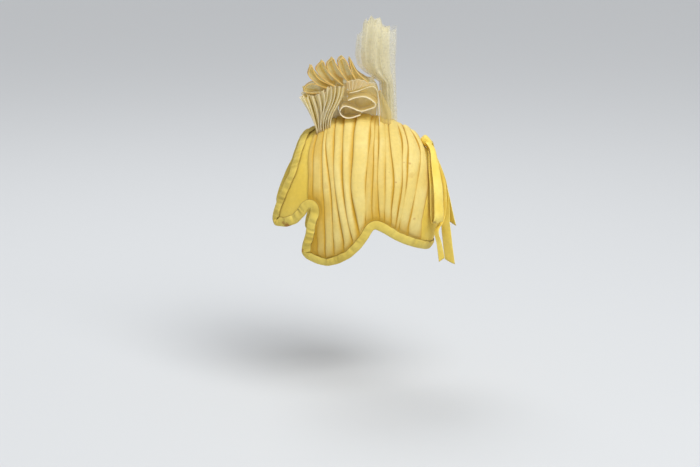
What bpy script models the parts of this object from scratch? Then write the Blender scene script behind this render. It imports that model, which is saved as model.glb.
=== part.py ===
"""A pleated costume hat with a bound petal edge, a ruffle and plume on top and a ribbon bow behind.

Metres, +Z up, the front toward -Y and the wearer's left toward +X. The origin is the inside top of the crown.
"""

import math

import bpy
import numpy as np

# The rounded form the hat is shaped on: half axes, and how far its long axis leans back, in degrees
FORM_LONG = 0.106
FORM_DEEP = 0.0942
FORM_HALF_WIDTH = 0.077
FORM_LEAN = 45.0
# The lean of the axis that the petal outline is measured round, in degrees
OUTLINE_LEAN = 24.0

# Cloth of the cap, its cover and its edge
BASE_WALL = 0.0016
COVER_WALL = 0.0011
COVER_CLEARANCE = 0.0009
PLEAT_HEIGHT = 0.0032
PLEAT_HOLLOW = 0.55
BINDING_WIDTH = 0.0092
BINDING_WALL = 0.0011
BINDING_PUFF = 0.0004
MITRE_SHARE = 0.90
BINDING_CLEARANCE = 0.0006
COVER_EDGE_CLEARANCE = 0.0013

# Sizes that the shares in the tables are taken of
COVER_REACH = 0.100
RUFFLE_REACH = 0.100
PLUME_REACH = 0.100
RIBBON_REACH = 0.100

# Ruffle, plume and bow
RUFFLE_WALL = 0.0010
RUFFLE_HALF_WIDTH = 0.028
PANEL_SIDE = 0.0185
PANEL_BULGE = 0.003
PANEL_TOP = 0.0235
SEAT_CLEARANCE = 0.0004
PLUME_WALL = 0.0011
PLUME_HALF_WIDTH_TOP = 0.017
PLUME_HALF_WIDTH_FOOT = 0.008
RIBBON_WALL = 0.0010
RIBBON_CLEARANCE = 0.0008
KNOT_LENGTH = 0.0120
KNOT_HALF_WIDTH = 0.0072
KNOT_THICKNESS = 0.0090
KNOT_LEAN = 48.0

# Mesh fineness
OUTLINE_STEP = 0.0135
COVER_ROWS = 10
SPLINE_STEPS = 2
SEAT_SPREAD = 0.0015
LIMIT_SPREAD = 2

# The cut edge on the left side, round the outline axis: azimuth from the front, angle from the axis
EDGE = (
    (0.0, 51.0),
    (8.0, 57.0),
    (20.8, 63.1),
    (29.5, 70.5),
    (35.5, 78.8),
    (37.3, 91.4),
    (37.7, 104.4),
    (38.6, 107.4),
    (41.5, 109.6),
    (51.3, 106.6),
    (57.3, 102.0),
    (60.4, 95.4),
    (60.7, 92.0),
    (61.8, 89.8),
    (63.6, 89.6),
    (65.0, 91.4),
    (65.4, 94.6),
    (65.9, 98.5),
    (68.0, 106.0),
    (68.4, 113.0),
    (69.5, 118.2),
    (73.5, 120.4),
    (82.2, 120.7),
    (89.5, 119.4),
    (95.4, 114.9),
    (100.1, 108.6),
    (102.8, 101.0),
    (103.8, 93.5),
    (104.1, 88.6),
    (105.2, 86.9),
    (107.4, 86.9),
    (112.5, 87.5),
    (122.1, 89.4),
    (131.1, 90.5),
    (142.9, 91.3),
    (160.0, 92.2),
    (180.0, 92.8),
)
BASE_RINGS = (0.12, 0.25, 0.38, 0.50, 0.62, 0.73, 0.83, 0.92, 1.0)

# The valleys between the pleats, front to back, as shares of COVER_REACH at four angles down the side,
# and the height of the pleat behind each valley as a share of PLEAT_HEIGHT
PLEAT_ANGLES = (0.0, 35.0, 70.0, 100.0)
PLEATS = (
    (-0.430, -0.540, -0.548, -0.515, 0.35),
    (-0.405, -0.479, -0.500, -0.450, 0.45),
    (-0.365, -0.391, -0.383, -0.370, 0.60),
    (-0.315, -0.359, -0.306, -0.280, 0.60),
    (-0.250, -0.276, -0.260, -0.180, 0.80),
    (-0.160, -0.180, -0.180, -0.088, 1.00),
    (-0.015, -0.060, -0.090, -0.005, 1.00),
    (0.135, 0.095, 0.055, 0.042, 0.45),
    (0.168, 0.144, 0.125, 0.113, 0.45),
    (0.198, 0.184, 0.175, 0.205, 0.60),
    (0.260, 0.253, 0.255, 0.235, 0.60),
    (0.295, 0.310, 0.340, 0.300, 0.80),
    (0.375, 0.435, 0.420, 0.350, 0.70),
    (0.448, 0.490, 0.466, 0.390, 0.90),
    (0.530, 0.628, 0.576, 0.490, 0.90),
    (0.585, 0.685, 0.705, 0.635, 0.60),
)
PLEAT_PROFILE = ((0.0, 0.0), (0.28, 0.92), (0.72, 1.0))
FRONT_PETAL_MIDDLE = -0.30
SQUEEZE_TO = -0.26

# Ruffle pieces seen from the side, front to back and up, as shares of RUFFLE_REACH
FAN = (
    (-0.410, 0.315), (-0.500, 0.305), (-0.580, 0.305), (-0.610, 0.335), (-0.590, 0.372), (-0.535, 0.395),
    (-0.470, 0.390), (-0.412, 0.396), (-0.458, 0.432), (-0.550, 0.480), (-0.565, 0.525), (-0.520, 0.580),
    (-0.495, 0.540), (-0.458, 0.475), (-0.408, 0.435), (-0.425, 0.490), (-0.468, 0.550), (-0.475, 0.595),
    (-0.410, 0.625), (-0.385, 0.590), (-0.355, 0.515), (-0.312, 0.460), (-0.315, 0.530), (-0.350, 0.600),
    (-0.335, 0.640), (-0.295, 0.658), (-0.280, 0.610), (-0.264, 0.525), (-0.232, 0.468), (-0.224, 0.540),
    (-0.234, 0.620), (-0.212, 0.662), (-0.180, 0.660), (-0.167, 0.600), (-0.162, 0.525), (-0.136, 0.472),
    (-0.118, 0.560), (-0.122, 0.635), (-0.102, 0.662), (-0.078, 0.635), (-0.062, 0.550), (-0.030, 0.490),
    (0.030, 0.445),
)
SCROLL = (
    (-0.137, 0.235), (-0.058, 0.265), (0.050, 0.272), (0.145, 0.215), (0.151, 0.170), (0.087, 0.141),
    (-0.001, 0.120), (-0.094, 0.155), (-0.151, 0.173), (-0.194, 0.163), (-0.223, 0.112), (-0.188, 0.062),
    (-0.116, 0.047), (-0.001, 0.080),
)
BACK_FOLDS = (
    (-0.120, 0.315), (-0.020, 0.340), (0.080, 0.378), (0.140, 0.378), (0.172, 0.310), (0.188, 0.180),
    (0.200, 0.085),
)
# Front pleats of the ruffle: foot and head of each layer, front to back, and its height, as shares of RUFFLE_REACH
PLEAT_LAYERS = (
    (-0.440, -0.640, 0.255),
    (-0.410, -0.530, 0.268),
    (-0.380, -0.440, 0.278),
    (-0.350, -0.345, 0.385),
    (-0.320, -0.260, 0.385),
    (-0.290, -0.180, 0.370),
)
# The side panel: how far up its height, and its front and back edge there, as shares of RUFFLE_REACH
PANEL = (
    (0.00, 0.215, 0.330),
    (0.36, 0.212, 0.332),
    (0.70, 0.208, 0.305),
    (1.00, 0.204, 0.250),
)

# The plume: height, front and back edge as shares of PLUME_REACH
PLUME = (
    (0.080, 0.240, 0.395),
    (0.240, 0.232, 0.388),
    (0.400, 0.225, 0.383),
    (0.450, 0.130, 0.382),
    (0.510, 0.030, 0.381),
    (0.580, -0.040, 0.380),
    (0.700, -0.062, 0.382),
    (0.950, -0.036, 0.382),
    (1.100, -0.020, 0.380),
)
PLUME_TOP = (
    (0.00, 0.950),
    (0.16, 1.070),
    (0.30, 1.103),
    (0.46, 1.074),
    (0.56, 1.074),
    (0.63, 1.009),
    (0.82, 1.003),
    (1.00, 1.022),
)
PLUME_LAYERS = 6

# Ribbons: where the front edge and the back edge are at each height, as shares of RIBBON_REACH
TAIL_LONG = (
    (-0.035, 0.745, -0.005, 0.782, -0.305),
    (-0.050, 0.812, 0.030, 0.840, -0.430),
    (-0.055, 0.880, 0.030, 0.910, -0.600),
    (-0.055, 0.925, 0.030, 0.968, -0.830),
    (-0.055, 0.965, 0.040, 1.055, -1.140),
)
TAIL_WIDE = (
    (0.018, 0.745, 0.022, 0.782, -0.308),
    (0.047, 0.808, 0.075, 0.838, -0.430),
    (0.065, 0.892, 0.130, 0.925, -0.650),
    (0.070, 0.922, 0.140, 0.965, -0.900),
    (0.070, 0.905, 0.140, 0.975, -1.100),
    (0.070, 0.892, 0.130, 0.985, -1.200),
    (0.060, 0.912, 0.120, 1.012, -1.380),
    (0.050, 0.937, 0.110, 1.040, -1.560),
)
TAIL_NARROW = (
    (0.042, 0.745, 0.046, 0.778, -0.302),
    (0.100, 0.805, 0.115, 0.832, -0.430),
    (0.190, 0.880, 0.215, 0.915, -0.650),
    (0.260, 0.895, 0.290, 0.930, -0.900),
    (0.330, 0.860, 0.360, 0.900, -1.060),
    (0.400, 0.800, 0.420, 0.842, -1.160),
    (0.370, 0.825, 0.385, 0.877, -1.320),
    (0.340, 0.852, 0.355, 0.912, -1.520),
)
LOOP = (
    (0.076, 0.695, 0.076, 0.745, -0.236),
    (0.270, 0.745, 0.210, 0.800, -0.300),
    (0.400, 0.755, 0.320, 0.830, -0.430),
    (0.500, 0.775, 0.410, 0.870, -0.650),
    (0.520, 0.785, 0.425, 0.885, -0.860),
    (0.530, 0.785, 0.435, 0.890, -0.990),
    (0.500, 0.765, 0.410, 0.875, -1.055),
    (0.478, 0.750, 0.388, 0.855, -0.995),
    (0.475, 0.742, 0.385, 0.845, -0.860),
    (0.460, 0.738, 0.368, 0.838, -0.650),
    (0.390, 0.728, 0.308, 0.803, -0.475),
    (0.275, 0.732, 0.205, 0.783, -0.350),
    (0.150, 0.728, 0.120, 0.775, -0.296),
    (0.076, 0.700, 0.076, 0.750, -0.268),
)
CUT_SLANT = 0.0045


def axes(lean):
    """The directions along and across an axis in the middle plane that leans back by so many degrees."""
    angle = math.radians(lean)
    along = np.array((0.0, math.sin(angle), math.cos(angle)))
    across = np.array((0.0, -math.cos(angle), math.sin(angle)))
    return along, across


LONG_AXIS, DEEP_AXIS = axes(FORM_LEAN)
SIDE_AXIS = np.array((1.0, 0.0, 0.0))
FRAME = np.stack((SIDE_AXIS, LONG_AXIS, DEEP_AXIS))
HALF_AXES = np.array((FORM_HALF_WIDTH, FORM_LONG, FORM_DEEP))


def form_centre():
    """The middle of the form, set so that its highest point is the origin."""
    lean = math.radians(FORM_LEAN)
    height = math.hypot(FORM_LONG * math.cos(lean), FORM_DEEP * math.sin(lean))
    shift = (FORM_LONG ** 2 - FORM_DEEP ** 2) * math.sin(lean) * math.cos(lean) / height
    return np.array((0.0, -shift, -height))


CENTRE = form_centre()


def form_points(directions, offset):
    """Points so far outside the form, in directions given on the unit ball."""
    surface = directions * HALF_AXES
    normals = directions / HALF_AXES
    normals = normals / np.linalg.norm(normals, axis=-1, keepdims=True)
    return (surface + normals * np.asarray(offset)[..., None]) @ FRAME + CENTRE


def form_directions(points):
    """The directions on the unit ball of points near the form."""
    local = (points - CENTRE) @ FRAME.T / HALF_AXES
    return local / np.linalg.norm(local, axis=-1, keepdims=True)


def outline_directions(azimuth, angle):
    """Directions on the unit ball from azimuth and angle round the outline axis, in degrees."""
    turn = math.radians(FORM_LEAN - OUTLINE_LEAN)
    azimuth = np.radians(azimuth)
    angle = np.radians(angle)
    up = np.cos(angle)
    front = np.sin(angle) * np.cos(azimuth)
    side = np.sin(angle) * np.sin(azimuth)
    along = up * math.cos(turn) - front * math.sin(turn)
    across = up * math.sin(turn) + front * math.cos(turn)
    return np.stack((side, along, across), axis=-1)


def lift_clear(points, offset):
    """The points moved straight out from the middle of the form until they are so far outside it."""
    local = (points - CENTRE) @ FRAME.T
    reach = np.linalg.norm(local / (HALF_AXES + offset), axis=-1, keepdims=True)
    return (local / np.minimum(reach, 1.0)) @ FRAME + CENTRE


def cross_section(y):
    """Middle height, half height and half width of the form cut straight across at y."""
    lean = math.radians(FORM_LEAN)
    shift = np.asarray(y) - CENTRE[1]
    square = (math.cos(lean) / FORM_LONG) ** 2 + (math.sin(lean) / FORM_DEEP) ** 2
    mixed = shift * math.sin(lean) * math.cos(lean) * (1.0 / FORM_LONG ** 2 - 1.0 / FORM_DEEP ** 2)
    rest = shift ** 2 * ((math.sin(lean) / FORM_LONG) ** 2 + (math.cos(lean) / FORM_DEEP) ** 2) - 1.0
    room = np.maximum(mixed ** 2 - square * rest, 0.0)
    return CENTRE[2] - mixed / square, np.sqrt(room) / square, FORM_HALF_WIDTH * np.sqrt(room / square)


def side_directions(y, angle):
    """Directions on the unit ball at y, so many degrees down the side from the top."""
    middle, half_height, half_width = cross_section(y)
    angle = np.radians(angle)
    points = np.stack(
        (half_width * np.sin(angle), np.asarray(y) + 0.0 * angle, middle + half_height * np.cos(angle)), axis=-1
    )
    return form_directions(points)


def spline(knots, values, at):
    """A smooth curve through the values at the knots; flat beyond the two ends."""
    knots = np.asarray(knots, float)
    values = np.asarray(values, float)
    slopes = np.gradient(values, knots, axis=0)
    at = np.clip(np.asarray(at, float), knots[0], knots[-1])
    cell = np.clip(np.searchsorted(knots, at, side="right") - 1, 0, len(knots) - 2)
    width = knots[cell + 1] - knots[cell]
    share = (at - knots[cell]) / width
    if values.ndim > 1:
        share = share[:, None]
        width = width[:, None]
    start = values[cell] * (1 + 2 * share) * (1 - share) ** 2 + slopes[cell] * width * share * (1 - share) ** 2
    end = values[cell + 1] * share ** 2 * (3 - 2 * share) - slopes[cell + 1] * width * share ** 2 * (1 - share)
    return start + end


def edge_samples():
    """Azimuth and angle all round the cut edge, with no step longer than OUTLINE_STEP."""
    side = []
    for start, end in zip(EDGE, EDGE[1:]):
        ends = form_points(outline_directions(*np.array((start, end)).T), np.zeros(2))
        steps = math.ceil(np.linalg.norm(ends[1] - ends[0]) / OUTLINE_STEP)
        for step in range(steps):
            share = step / steps
            side.append((start[0] + (end[0] - start[0]) * share, start[1] + (end[1] - start[1]) * share))
    side.append(EDGE[-1])
    far = [(-azimuth, angle) for azimuth, angle in side[-2:0:-1]]
    return np.array(side + far)


EDGE_SAMPLES = edge_samples()


def dense_edge():
    """Points close together along the cut edge, to measure distances from."""
    knots = np.array(EDGE)
    lengths = np.concatenate(((0.0,), np.cumsum(np.hypot(*np.diff(knots, axis=0).T))))
    at = np.linspace(0.0, lengths[-1], 721)
    azimuth = np.interp(at, lengths, knots[:, 0])
    angle = np.interp(at, lengths, knots[:, 1])
    return form_points(outline_directions(azimuth, angle), np.full(len(at), BASE_WALL))


DENSE_EDGE = dense_edge()


def inside_edge(y, angle):
    """How far a spot on the left side is inside the cut edge; below nothing where it is outside."""
    directions = side_directions(np.asarray(y, float), np.asarray(angle, float))
    turn = math.radians(FORM_LEAN - OUTLINE_LEAN)
    up = directions[..., 1] * math.cos(turn) + directions[..., 2] * math.sin(turn)
    front = directions[..., 2] * math.cos(turn) - directions[..., 1] * math.sin(turn)
    azimuth = np.degrees(np.arctan2(np.abs(directions[..., 0]), front))
    knots = np.array(EDGE)
    within = np.degrees(np.arccos(np.clip(up, -1, 1))) < np.interp(azimuth, knots[:, 0], knots[:, 1])
    points = form_points(directions, np.full(directions.shape[:-1], BASE_WALL))
    gaps = np.linalg.norm(points[..., None, :] - DENSE_EDGE, axis=-1).min(axis=-1)
    return np.where(within, gaps, -gaps)


def make_material(name, colour, roughness, sheen):
    """A plain cloth material."""
    material = bpy.data.materials.new(name)
    material.use_nodes = True
    shader = material.node_tree.nodes["Principled BSDF"]
    shader.inputs["Base Color"].default_value = (*colour, 1.0)
    shader.inputs["Roughness"].default_value = roughness
    shader.inputs["Sheen Weight"].default_value = sheen
    return material


def split_quads(vertices, faces):
    """The faces with every four-sided one split in two along its shorter diagonal."""
    split = []
    for face in faces:
        if len(face) == 3:
            split.append(face)
            continue
        first, second, third, fourth = face
        one = np.linalg.norm(vertices[third] - vertices[first])
        other = np.linalg.norm(vertices[fourth] - vertices[second])
        if one <= other:
            split += [(first, second, third), (first, third, fourth)]
        else:
            split += [(first, second, fourth), (second, third, fourth)]
    return split


def make_solid(name, vertices, faces, material):
    """One named object from vertices and faces, with its faces turned outward."""
    vertices = np.asarray(vertices, float)
    faces = split_quads(vertices, faces)
    volume = 0.0
    for face in faces:
        for second, third in zip(face[1:], face[2:]):
            volume += np.dot(vertices[face[0]], np.cross(vertices[second], vertices[third]))
    if volume < 0.0:
        faces = [tuple(reversed(face)) for face in faces]
    mesh = bpy.data.meshes.new(name)
    mesh.from_pydata([tuple(vertex) for vertex in vertices], [], faces)
    mesh.materials.append(material)
    mesh.shade_smooth()
    mesh.update()
    solid = bpy.data.objects.new(name, mesh)
    bpy.context.scene.collection.objects.link(solid)
    return solid


def skin_between(outer, inner):
    """Vertices and faces of the solid between two open grids of the same size."""
    rows, columns = outer.shape[:2]
    vertices = np.concatenate((outer.reshape(-1, 3), inner.reshape(-1, 3)))
    back = rows * columns
    faces = []
    for row in range(rows - 1):
        for column in range(columns - 1):
            corner = row * columns + column
            quad = (corner, corner + 1, corner + columns + 1, corner + columns)
            faces.append(quad)
            faces.append(tuple(back + index for index in reversed(quad)))
    border = [column for column in range(columns)]
    border += [row * columns + columns - 1 for row in range(1, rows)]
    border += [(rows - 1) * columns + column for column in range(columns - 2, -1, -1)]
    border += [row * columns for row in range(rows - 2, 0, -1)]
    for start, end in zip(border, border[1:] + border[:1]):
        faces.append((end, start, back + start, back + end))
    return vertices, faces


def grid_normals(grid):
    """The direction square to a grid of points at each of them."""
    down = np.gradient(grid, axis=0)
    across = np.gradient(grid, axis=1)
    normals = np.cross(down, across)
    return normals / np.linalg.norm(normals, axis=-1, keepdims=True)


def make_sheet(name, grid, wall, material):
    """A sheet of cloth of one thickness along a grid of points."""
    shift = grid_normals(grid) * wall / 2
    vertices, faces = skin_between(grid + shift, grid - shift)
    return make_solid(name, vertices, faces, material)


def make_crown_base(material):
    """The plain cap: a wall on the form inside the cut edge."""
    azimuth = EDGE_SAMPLES[:, 0]
    edge_angle = EDGE_SAMPLES[:, 1]
    vertices = []
    for offset in (BASE_WALL, 0.0):
        vertices.append(form_points(outline_directions(np.zeros(1), np.zeros(1)), np.full(1, offset)))
        for ring in BASE_RINGS:
            directions = outline_directions(azimuth, edge_angle * ring)
            vertices.append(form_points(directions, np.full(len(azimuth), offset)))
    vertices = np.concatenate(vertices)
    count = len(azimuth)
    back = 1 + count * len(BASE_RINGS)
    faces = []
    for column in range(count):
        following = (column + 1) % count
        faces.append((0, 1 + column, 1 + following))
        faces.append((back, back + 1 + following, back + 1 + column))
        for ring in range(len(BASE_RINGS) - 1):
            near = 1 + ring * count
            far = near + count
            quad = (near + column, far + column, far + following, near + following)
            faces.append(quad)
            faces.append(tuple(back + index for index in reversed(quad)))
        last = 1 + (len(BASE_RINGS) - 1) * count
        faces.append((last + column, back + last + column, back + last + following, last + following))
    return make_solid("crown_base", vertices, faces, material)


def cover_columns():
    """The columns across the cover: valley values at the four angles, and the height of the cloth there."""
    columns = []
    heights = []
    for start, end in zip(PLEATS, PLEATS[1:]):
        for share, rise in PLEAT_PROFILE:
            columns.append([start[k] + (end[k] - start[k]) * share for k in range(len(PLEAT_ANGLES))])
            heights.append(rise * start[4])
    columns.append(PLEATS[-1][:4])
    heights.append(PLEATS[-1][4])
    shown = np.array(columns) * COVER_REACH
    return CENTRE[1] + (shown - CENTRE[1]) * COVER_INSET, np.array(heights) * PLEAT_HEIGHT


COVER_INSET = FORM_LONG / (FORM_LONG + BASE_WALL + COVER_CLEARANCE + COVER_WALL + PLEAT_HEIGHT / 2)
COVER_COLUMNS, COVER_HEIGHTS = cover_columns()
COVER_MARGIN = BINDING_WIDTH + COVER_EDGE_CLEARANCE


def front_limits():
    """How far forward the cover may reach at each whole degree down the side, clear of the binding."""
    degrees = np.arange(0, 125)
    steps = FRONT_PETAL_MIDDLE * COVER_REACH - np.arange(0.0, 0.040, 0.00025)
    limits = []
    for degree in degrees:
        short = inside_edge(steps, np.full(len(steps), float(degree))) < COVER_MARGIN
        last = np.argmax(short) - 1 if short.any() else len(steps) - 1
        limits.append(steps[max(last, 0)])
    spread = round(LIMIT_SPREAD)
    limits = np.array([max(limits[max(0, k - spread):k + spread + 1]) for k in range(len(limits))])
    corner = 85 + int(np.argmin(limits[85:115]))
    limits[corner:] = limits[corner]
    return degrees, limits


LIMIT_DEGREES, LIMITS = front_limits()


def column_y(column, degrees):
    """Where a column of the cover runs, front to back, at each angle down the side."""
    plain = spline(PLEAT_ANGLES, COVER_COLUMNS[column], degrees)
    front = spline(PLEAT_ANGLES, COVER_COLUMNS[0], degrees)
    anchor = SQUEEZE_TO * COVER_REACH
    limit = np.interp(degrees, LIMIT_DEGREES, LIMITS)
    squeezed = anchor - (anchor - plain) * (anchor - limit) / (anchor - front)
    return np.where((limit > front) & (plain < anchor), squeezed, plain)


def column_end(column):
    """The angle down the side at which a column reaches the binding."""
    degrees = np.arange(40.0, 125.0, 0.25)
    room = inside_edge(column_y(column, degrees), degrees)
    return degrees[np.argmax(room < COVER_MARGIN - 0.0004)] - 0.25


def make_pleated_cover(material):
    """The pleated cloth laid from ear to ear over the cap."""
    outer = []
    inner = []
    for column, height in enumerate(COVER_HEIGHTS):
        end = column_end(column)
        shares = np.linspace(-1.0, 1.0, 2 * COVER_ROWS + 1)
        degrees = shares * end
        y = column_y(column, np.abs(degrees))
        directions = side_directions(y, degrees)
        rise = height * (1.0 - 0.65 * np.clip((np.abs(shares) - 0.85) / 0.15, 0.0, 1.0))
        floor = BASE_WALL + COVER_CLEARANCE
        outer.append(form_points(directions, floor + COVER_WALL + rise))
        inner.append(form_points(directions, floor + PLEAT_HOLLOW * rise))
    vertices, faces = skin_between(np.array(outer), np.array(inner))
    return make_solid("pleated_cover", vertices, faces, material)


def make_edge_binding(material):
    """The strip folded round the cut edge, mitred at the tips of the petals."""
    directions = outline_directions(EDGE_SAMPLES[:, 0], EDGE_SAMPLES[:, 1])
    edge = form_points(directions, np.zeros(len(directions)))
    normals = form_points(directions, np.ones(len(directions))) - edge
    ahead = np.roll(edge, -1, axis=0) - edge
    behind = edge - np.roll(edge, 1, axis=0)
    ahead /= np.linalg.norm(ahead, axis=1, keepdims=True)
    behind /= np.linalg.norm(behind, axis=1, keepdims=True)
    inward = np.cross(ahead + behind, normals)
    inward /= np.linalg.norm(inward, axis=1, keepdims=True)
    inward *= np.sign(np.sum(inward * (CENTRE + LONG_AXIS * FORM_LONG - edge)))
    apart = edge[None, :, :] - edge[:, None, :]
    toward = np.sum(apart * inward[:, None, :], axis=2)
    reach = np.sum(apart ** 2, axis=2) / np.maximum(2 * toward, 1e-9)
    reach[toward <= 1e-5] = BINDING_WIDTH
    legs = np.minimum(BINDING_WIDTH, MITRE_SHARE * reach.min(axis=1))
    gap = BINDING_CLEARANCE
    outside = BASE_WALL + gap
    crest = outside + BINDING_WALL
    rows = []
    for share, shift, offset in (
        (0.5, 0.0, outside),
        (1.0, 0.0, outside),
        (1.0, 0.0, crest),
        (0.5, 0.0, crest + BINDING_PUFF),
        (0.0, 0.0, crest),
        (0.0, -gap - BINDING_WALL, BASE_WALL),
        (0.0, -gap - BINDING_WALL, 0.0),
        (0.0, 0.0, -gap - BINDING_WALL),
        (1.0, 0.0, -gap - BINDING_WALL),
        (1.0, 0.0, -gap),
        (0.5, 0.0, -gap),
        (0.0, -gap, -gap),
        (0.0, -gap, outside),
    ):
        points = edge + inward * (legs * share + shift)[:, None]
        rows.append(form_points(form_directions(points), np.full(len(edge), offset)))
    rows = np.array(rows)
    sides, count = rows.shape[:2]
    faces = []
    for side in range(sides):
        for spot in range(count):
            near = side * count
            far = (side + 1) % sides * count
            following = (spot + 1) % count
            faces.append((near + spot, near + following, far + following, far + spot))
    return make_solid("edge_binding", rows.reshape(-1, 3), faces, material)


def top_height(x, y, offset):
    """The height of the surface so far outside the form, over a spot near its top."""
    middle, half_height, half_width = cross_section(y)
    height = middle + half_height * np.sqrt(np.clip(1.0 - (x / half_width) ** 2, 0.0, 1.0))
    directions = form_directions(np.stack((x, y, height), axis=-1))
    upward = form_points(directions, np.full(len(x), offset[0])) - form_points(directions, np.zeros(len(x)))
    return height + offset * np.linalg.norm(upward, axis=-1) / upward[..., 2]


def cover_offset(x, y):
    """How far the cloth of the cover stands outside the form near spots on top of the crown."""
    half_width = cross_section(y)[2]
    angles = np.degrees(np.arcsin(np.clip(np.abs(x) / half_width, 0.0, 1.0)))
    inset = CENTRE[1] + (y - CENTRE[1]) * COVER_INSET
    heights = []
    for angle, middle in zip(angles, inset):
        columns = [float(column_y(column, np.array([angle]))[0]) for column in range(len(COVER_COLUMNS))]
        near = np.linspace(middle - SEAT_SPREAD, middle + SEAT_SPREAD, 5)
        heights.append(np.interp(near, columns, COVER_HEIGHTS).max())
    return BASE_WALL + COVER_CLEARANCE + COVER_WALL + np.array(heights)


def seat_height(x, y, lift):
    """The height at which a piece rests on the cover at spots on top of the crown, lifted by so much."""
    x = np.full(len(y), x)
    y = np.asarray(y, float)
    return top_height(x, y, cover_offset(x, y) + SEAT_CLEARANCE + lift)


def smooth_path(points, steps):
    """A path with so many steps between its points, rounded through them."""
    knots = np.arange(len(points), dtype=float)
    return spline(knots, np.array(points), np.linspace(0.0, knots[-1], steps * (len(points) - 1) + 1))


def make_ruffle_wall(name, side_view, columns, narrowing, foot, material):
    """A folded wall of cloth with the given side view, carried across the crown.

    It is lifted clear of the crown, or its last stretch, below the height share foot, reaches down to it.
    """
    path = smooth_path(side_view, SPLINE_STEPS) * RUFFLE_REACH
    middle = path.mean(axis=0)
    grid = []
    for share in np.linspace(-1.0, 1.0, columns):
        x = share * RUFFLE_HALF_WIDTH
        row = middle + (path - middle) * (1.0 - narrowing * share ** 2)
        lowest = seat_height(x, row[:, 0], RUFFLE_WALL / 2)
        if foot:
            share = np.clip((foot * RUFFLE_REACH - row[:, 1]) / (foot * RUFFLE_REACH - row[-1, 1]), 0.0, 1.0)
            row[:, 1] += share * (seat_height(x, row[-1:, 0], 0.0)[0] - row[-1, 1])
        else:
            row[:, 1] += max(0.0, (lowest - row[:, 1]).max())
        grid.append(np.column_stack((np.full(len(row), x), row)))
    return make_sheet(name, np.array(grid), RUFFLE_WALL, material)


def folded_path(layers, spots):
    """A path to and fro across so many layers: its place along them and its side, from -1 to 1."""
    path = []
    for index in range(layers):
        side = 1.0 if index % 2 else -1.0
        path += [(index, place * side) for place in np.linspace(-0.92, 0.92, spots)]
        if index < layers - 1:
            path.append((index + 0.5, side))
    return path


def make_ruffle_pleats(material):
    """The front block of the ruffle: layers across the crown joined by round folds at the two sides."""
    layers = np.array(PLEAT_LAYERS) * RUFFLE_REACH
    places = np.arange(len(layers))
    grid = []
    for level in (0.0, 0.33, 0.66, 1.0):
        row = []
        for place, share in folded_path(len(layers), 5):
            foot, head, head_height = (np.interp(place, places, layers[:, k]) for k in range(3))
            x = share * RUFFLE_HALF_WIDTH
            floor = seat_height(x, [foot], RUFFLE_WALL / 2)[0]
            row.append((x, foot + (head - foot) * level, floor + (head_height - floor) * level))
        grid.append(row)
    return make_sheet("ruffle_pleats", np.array(grid), RUFFLE_WALL, material)


def make_ruffle_panel(material):
    """The small upright panel beside the foot of the plume."""
    grid = []
    for level, front, back in PANEL:
        row = []
        for share in np.linspace(0.0, 1.0, 4):
            y = (front + (back - front) * share) * RUFFLE_REACH
            x = PANEL_SIDE + PANEL_BULGE * math.sin(math.pi * share)
            floor = seat_height(x, [y], 0.0)[0]
            row.append((x, y, floor + (PANEL_TOP - floor) * level))
        grid.append(row)
    return make_sheet("ruffle_panel", np.array(grid), RUFFLE_WALL, material)


def make_plume(material):
    """The upright bunch: one sheet folded to and fro, narrow at its foot and uneven along its top."""
    table = np.array(PLUME) * PLUME_REACH
    tops = np.array(PLUME_TOP)
    grid = []
    for place, side in folded_path(PLUME_LAYERS, 3):
        share = place / (PLUME_LAYERS - 1)
        top = np.interp(share, tops[:, 0], tops[:, 1]) * PLUME_REACH
        foot = table[0, 1] + (table[0, 2] - table[0, 1]) * share
        floor = seat_height(side * PLUME_HALF_WIDTH_FOOT, [foot], PLUME_WALL / 2)[0]
        row = []
        for level in np.linspace(0.0, 1.0, 10):
            z = floor + (top - floor) * level
            front = np.interp(z, table[:, 0], table[:, 1])
            back = np.interp(z, table[:, 0], table[:, 2])
            half_width = PLUME_HALF_WIDTH_FOOT + (PLUME_HALF_WIDTH_TOP - PLUME_HALF_WIDTH_FOOT) * level
            row.append((side * half_width, front + (back - front) * share, z))
        grid.append(row)
    return make_sheet("plume", np.array(grid), PLUME_WALL, material)


def make_ribbon(name, table, mirror, offset, slant, material):
    """A ribbon from a table of its side shift, its two edges and its height, clear of the crown."""
    places = np.linspace(0, len(table) - 1, SPLINE_STEPS * (len(table) - 1) + 1)
    points = spline(np.arange(len(table)), np.array(table) * RIBBON_REACH, places)
    grid = []
    for index, (front_side, front, back_side, back, height) in enumerate(points):
        drop = slant if index == len(points) - 1 else 0.0
        row = []
        for share in (0.0, 0.5, 1.0):
            x = front_side + (back_side - front_side) * share
            row.append((mirror * x, front + (back - front) * share, height - drop * share))
        grid.append(row)
    return make_sheet(name, lift_clear(np.array(grid), offset), RIBBON_WALL, material)


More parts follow.
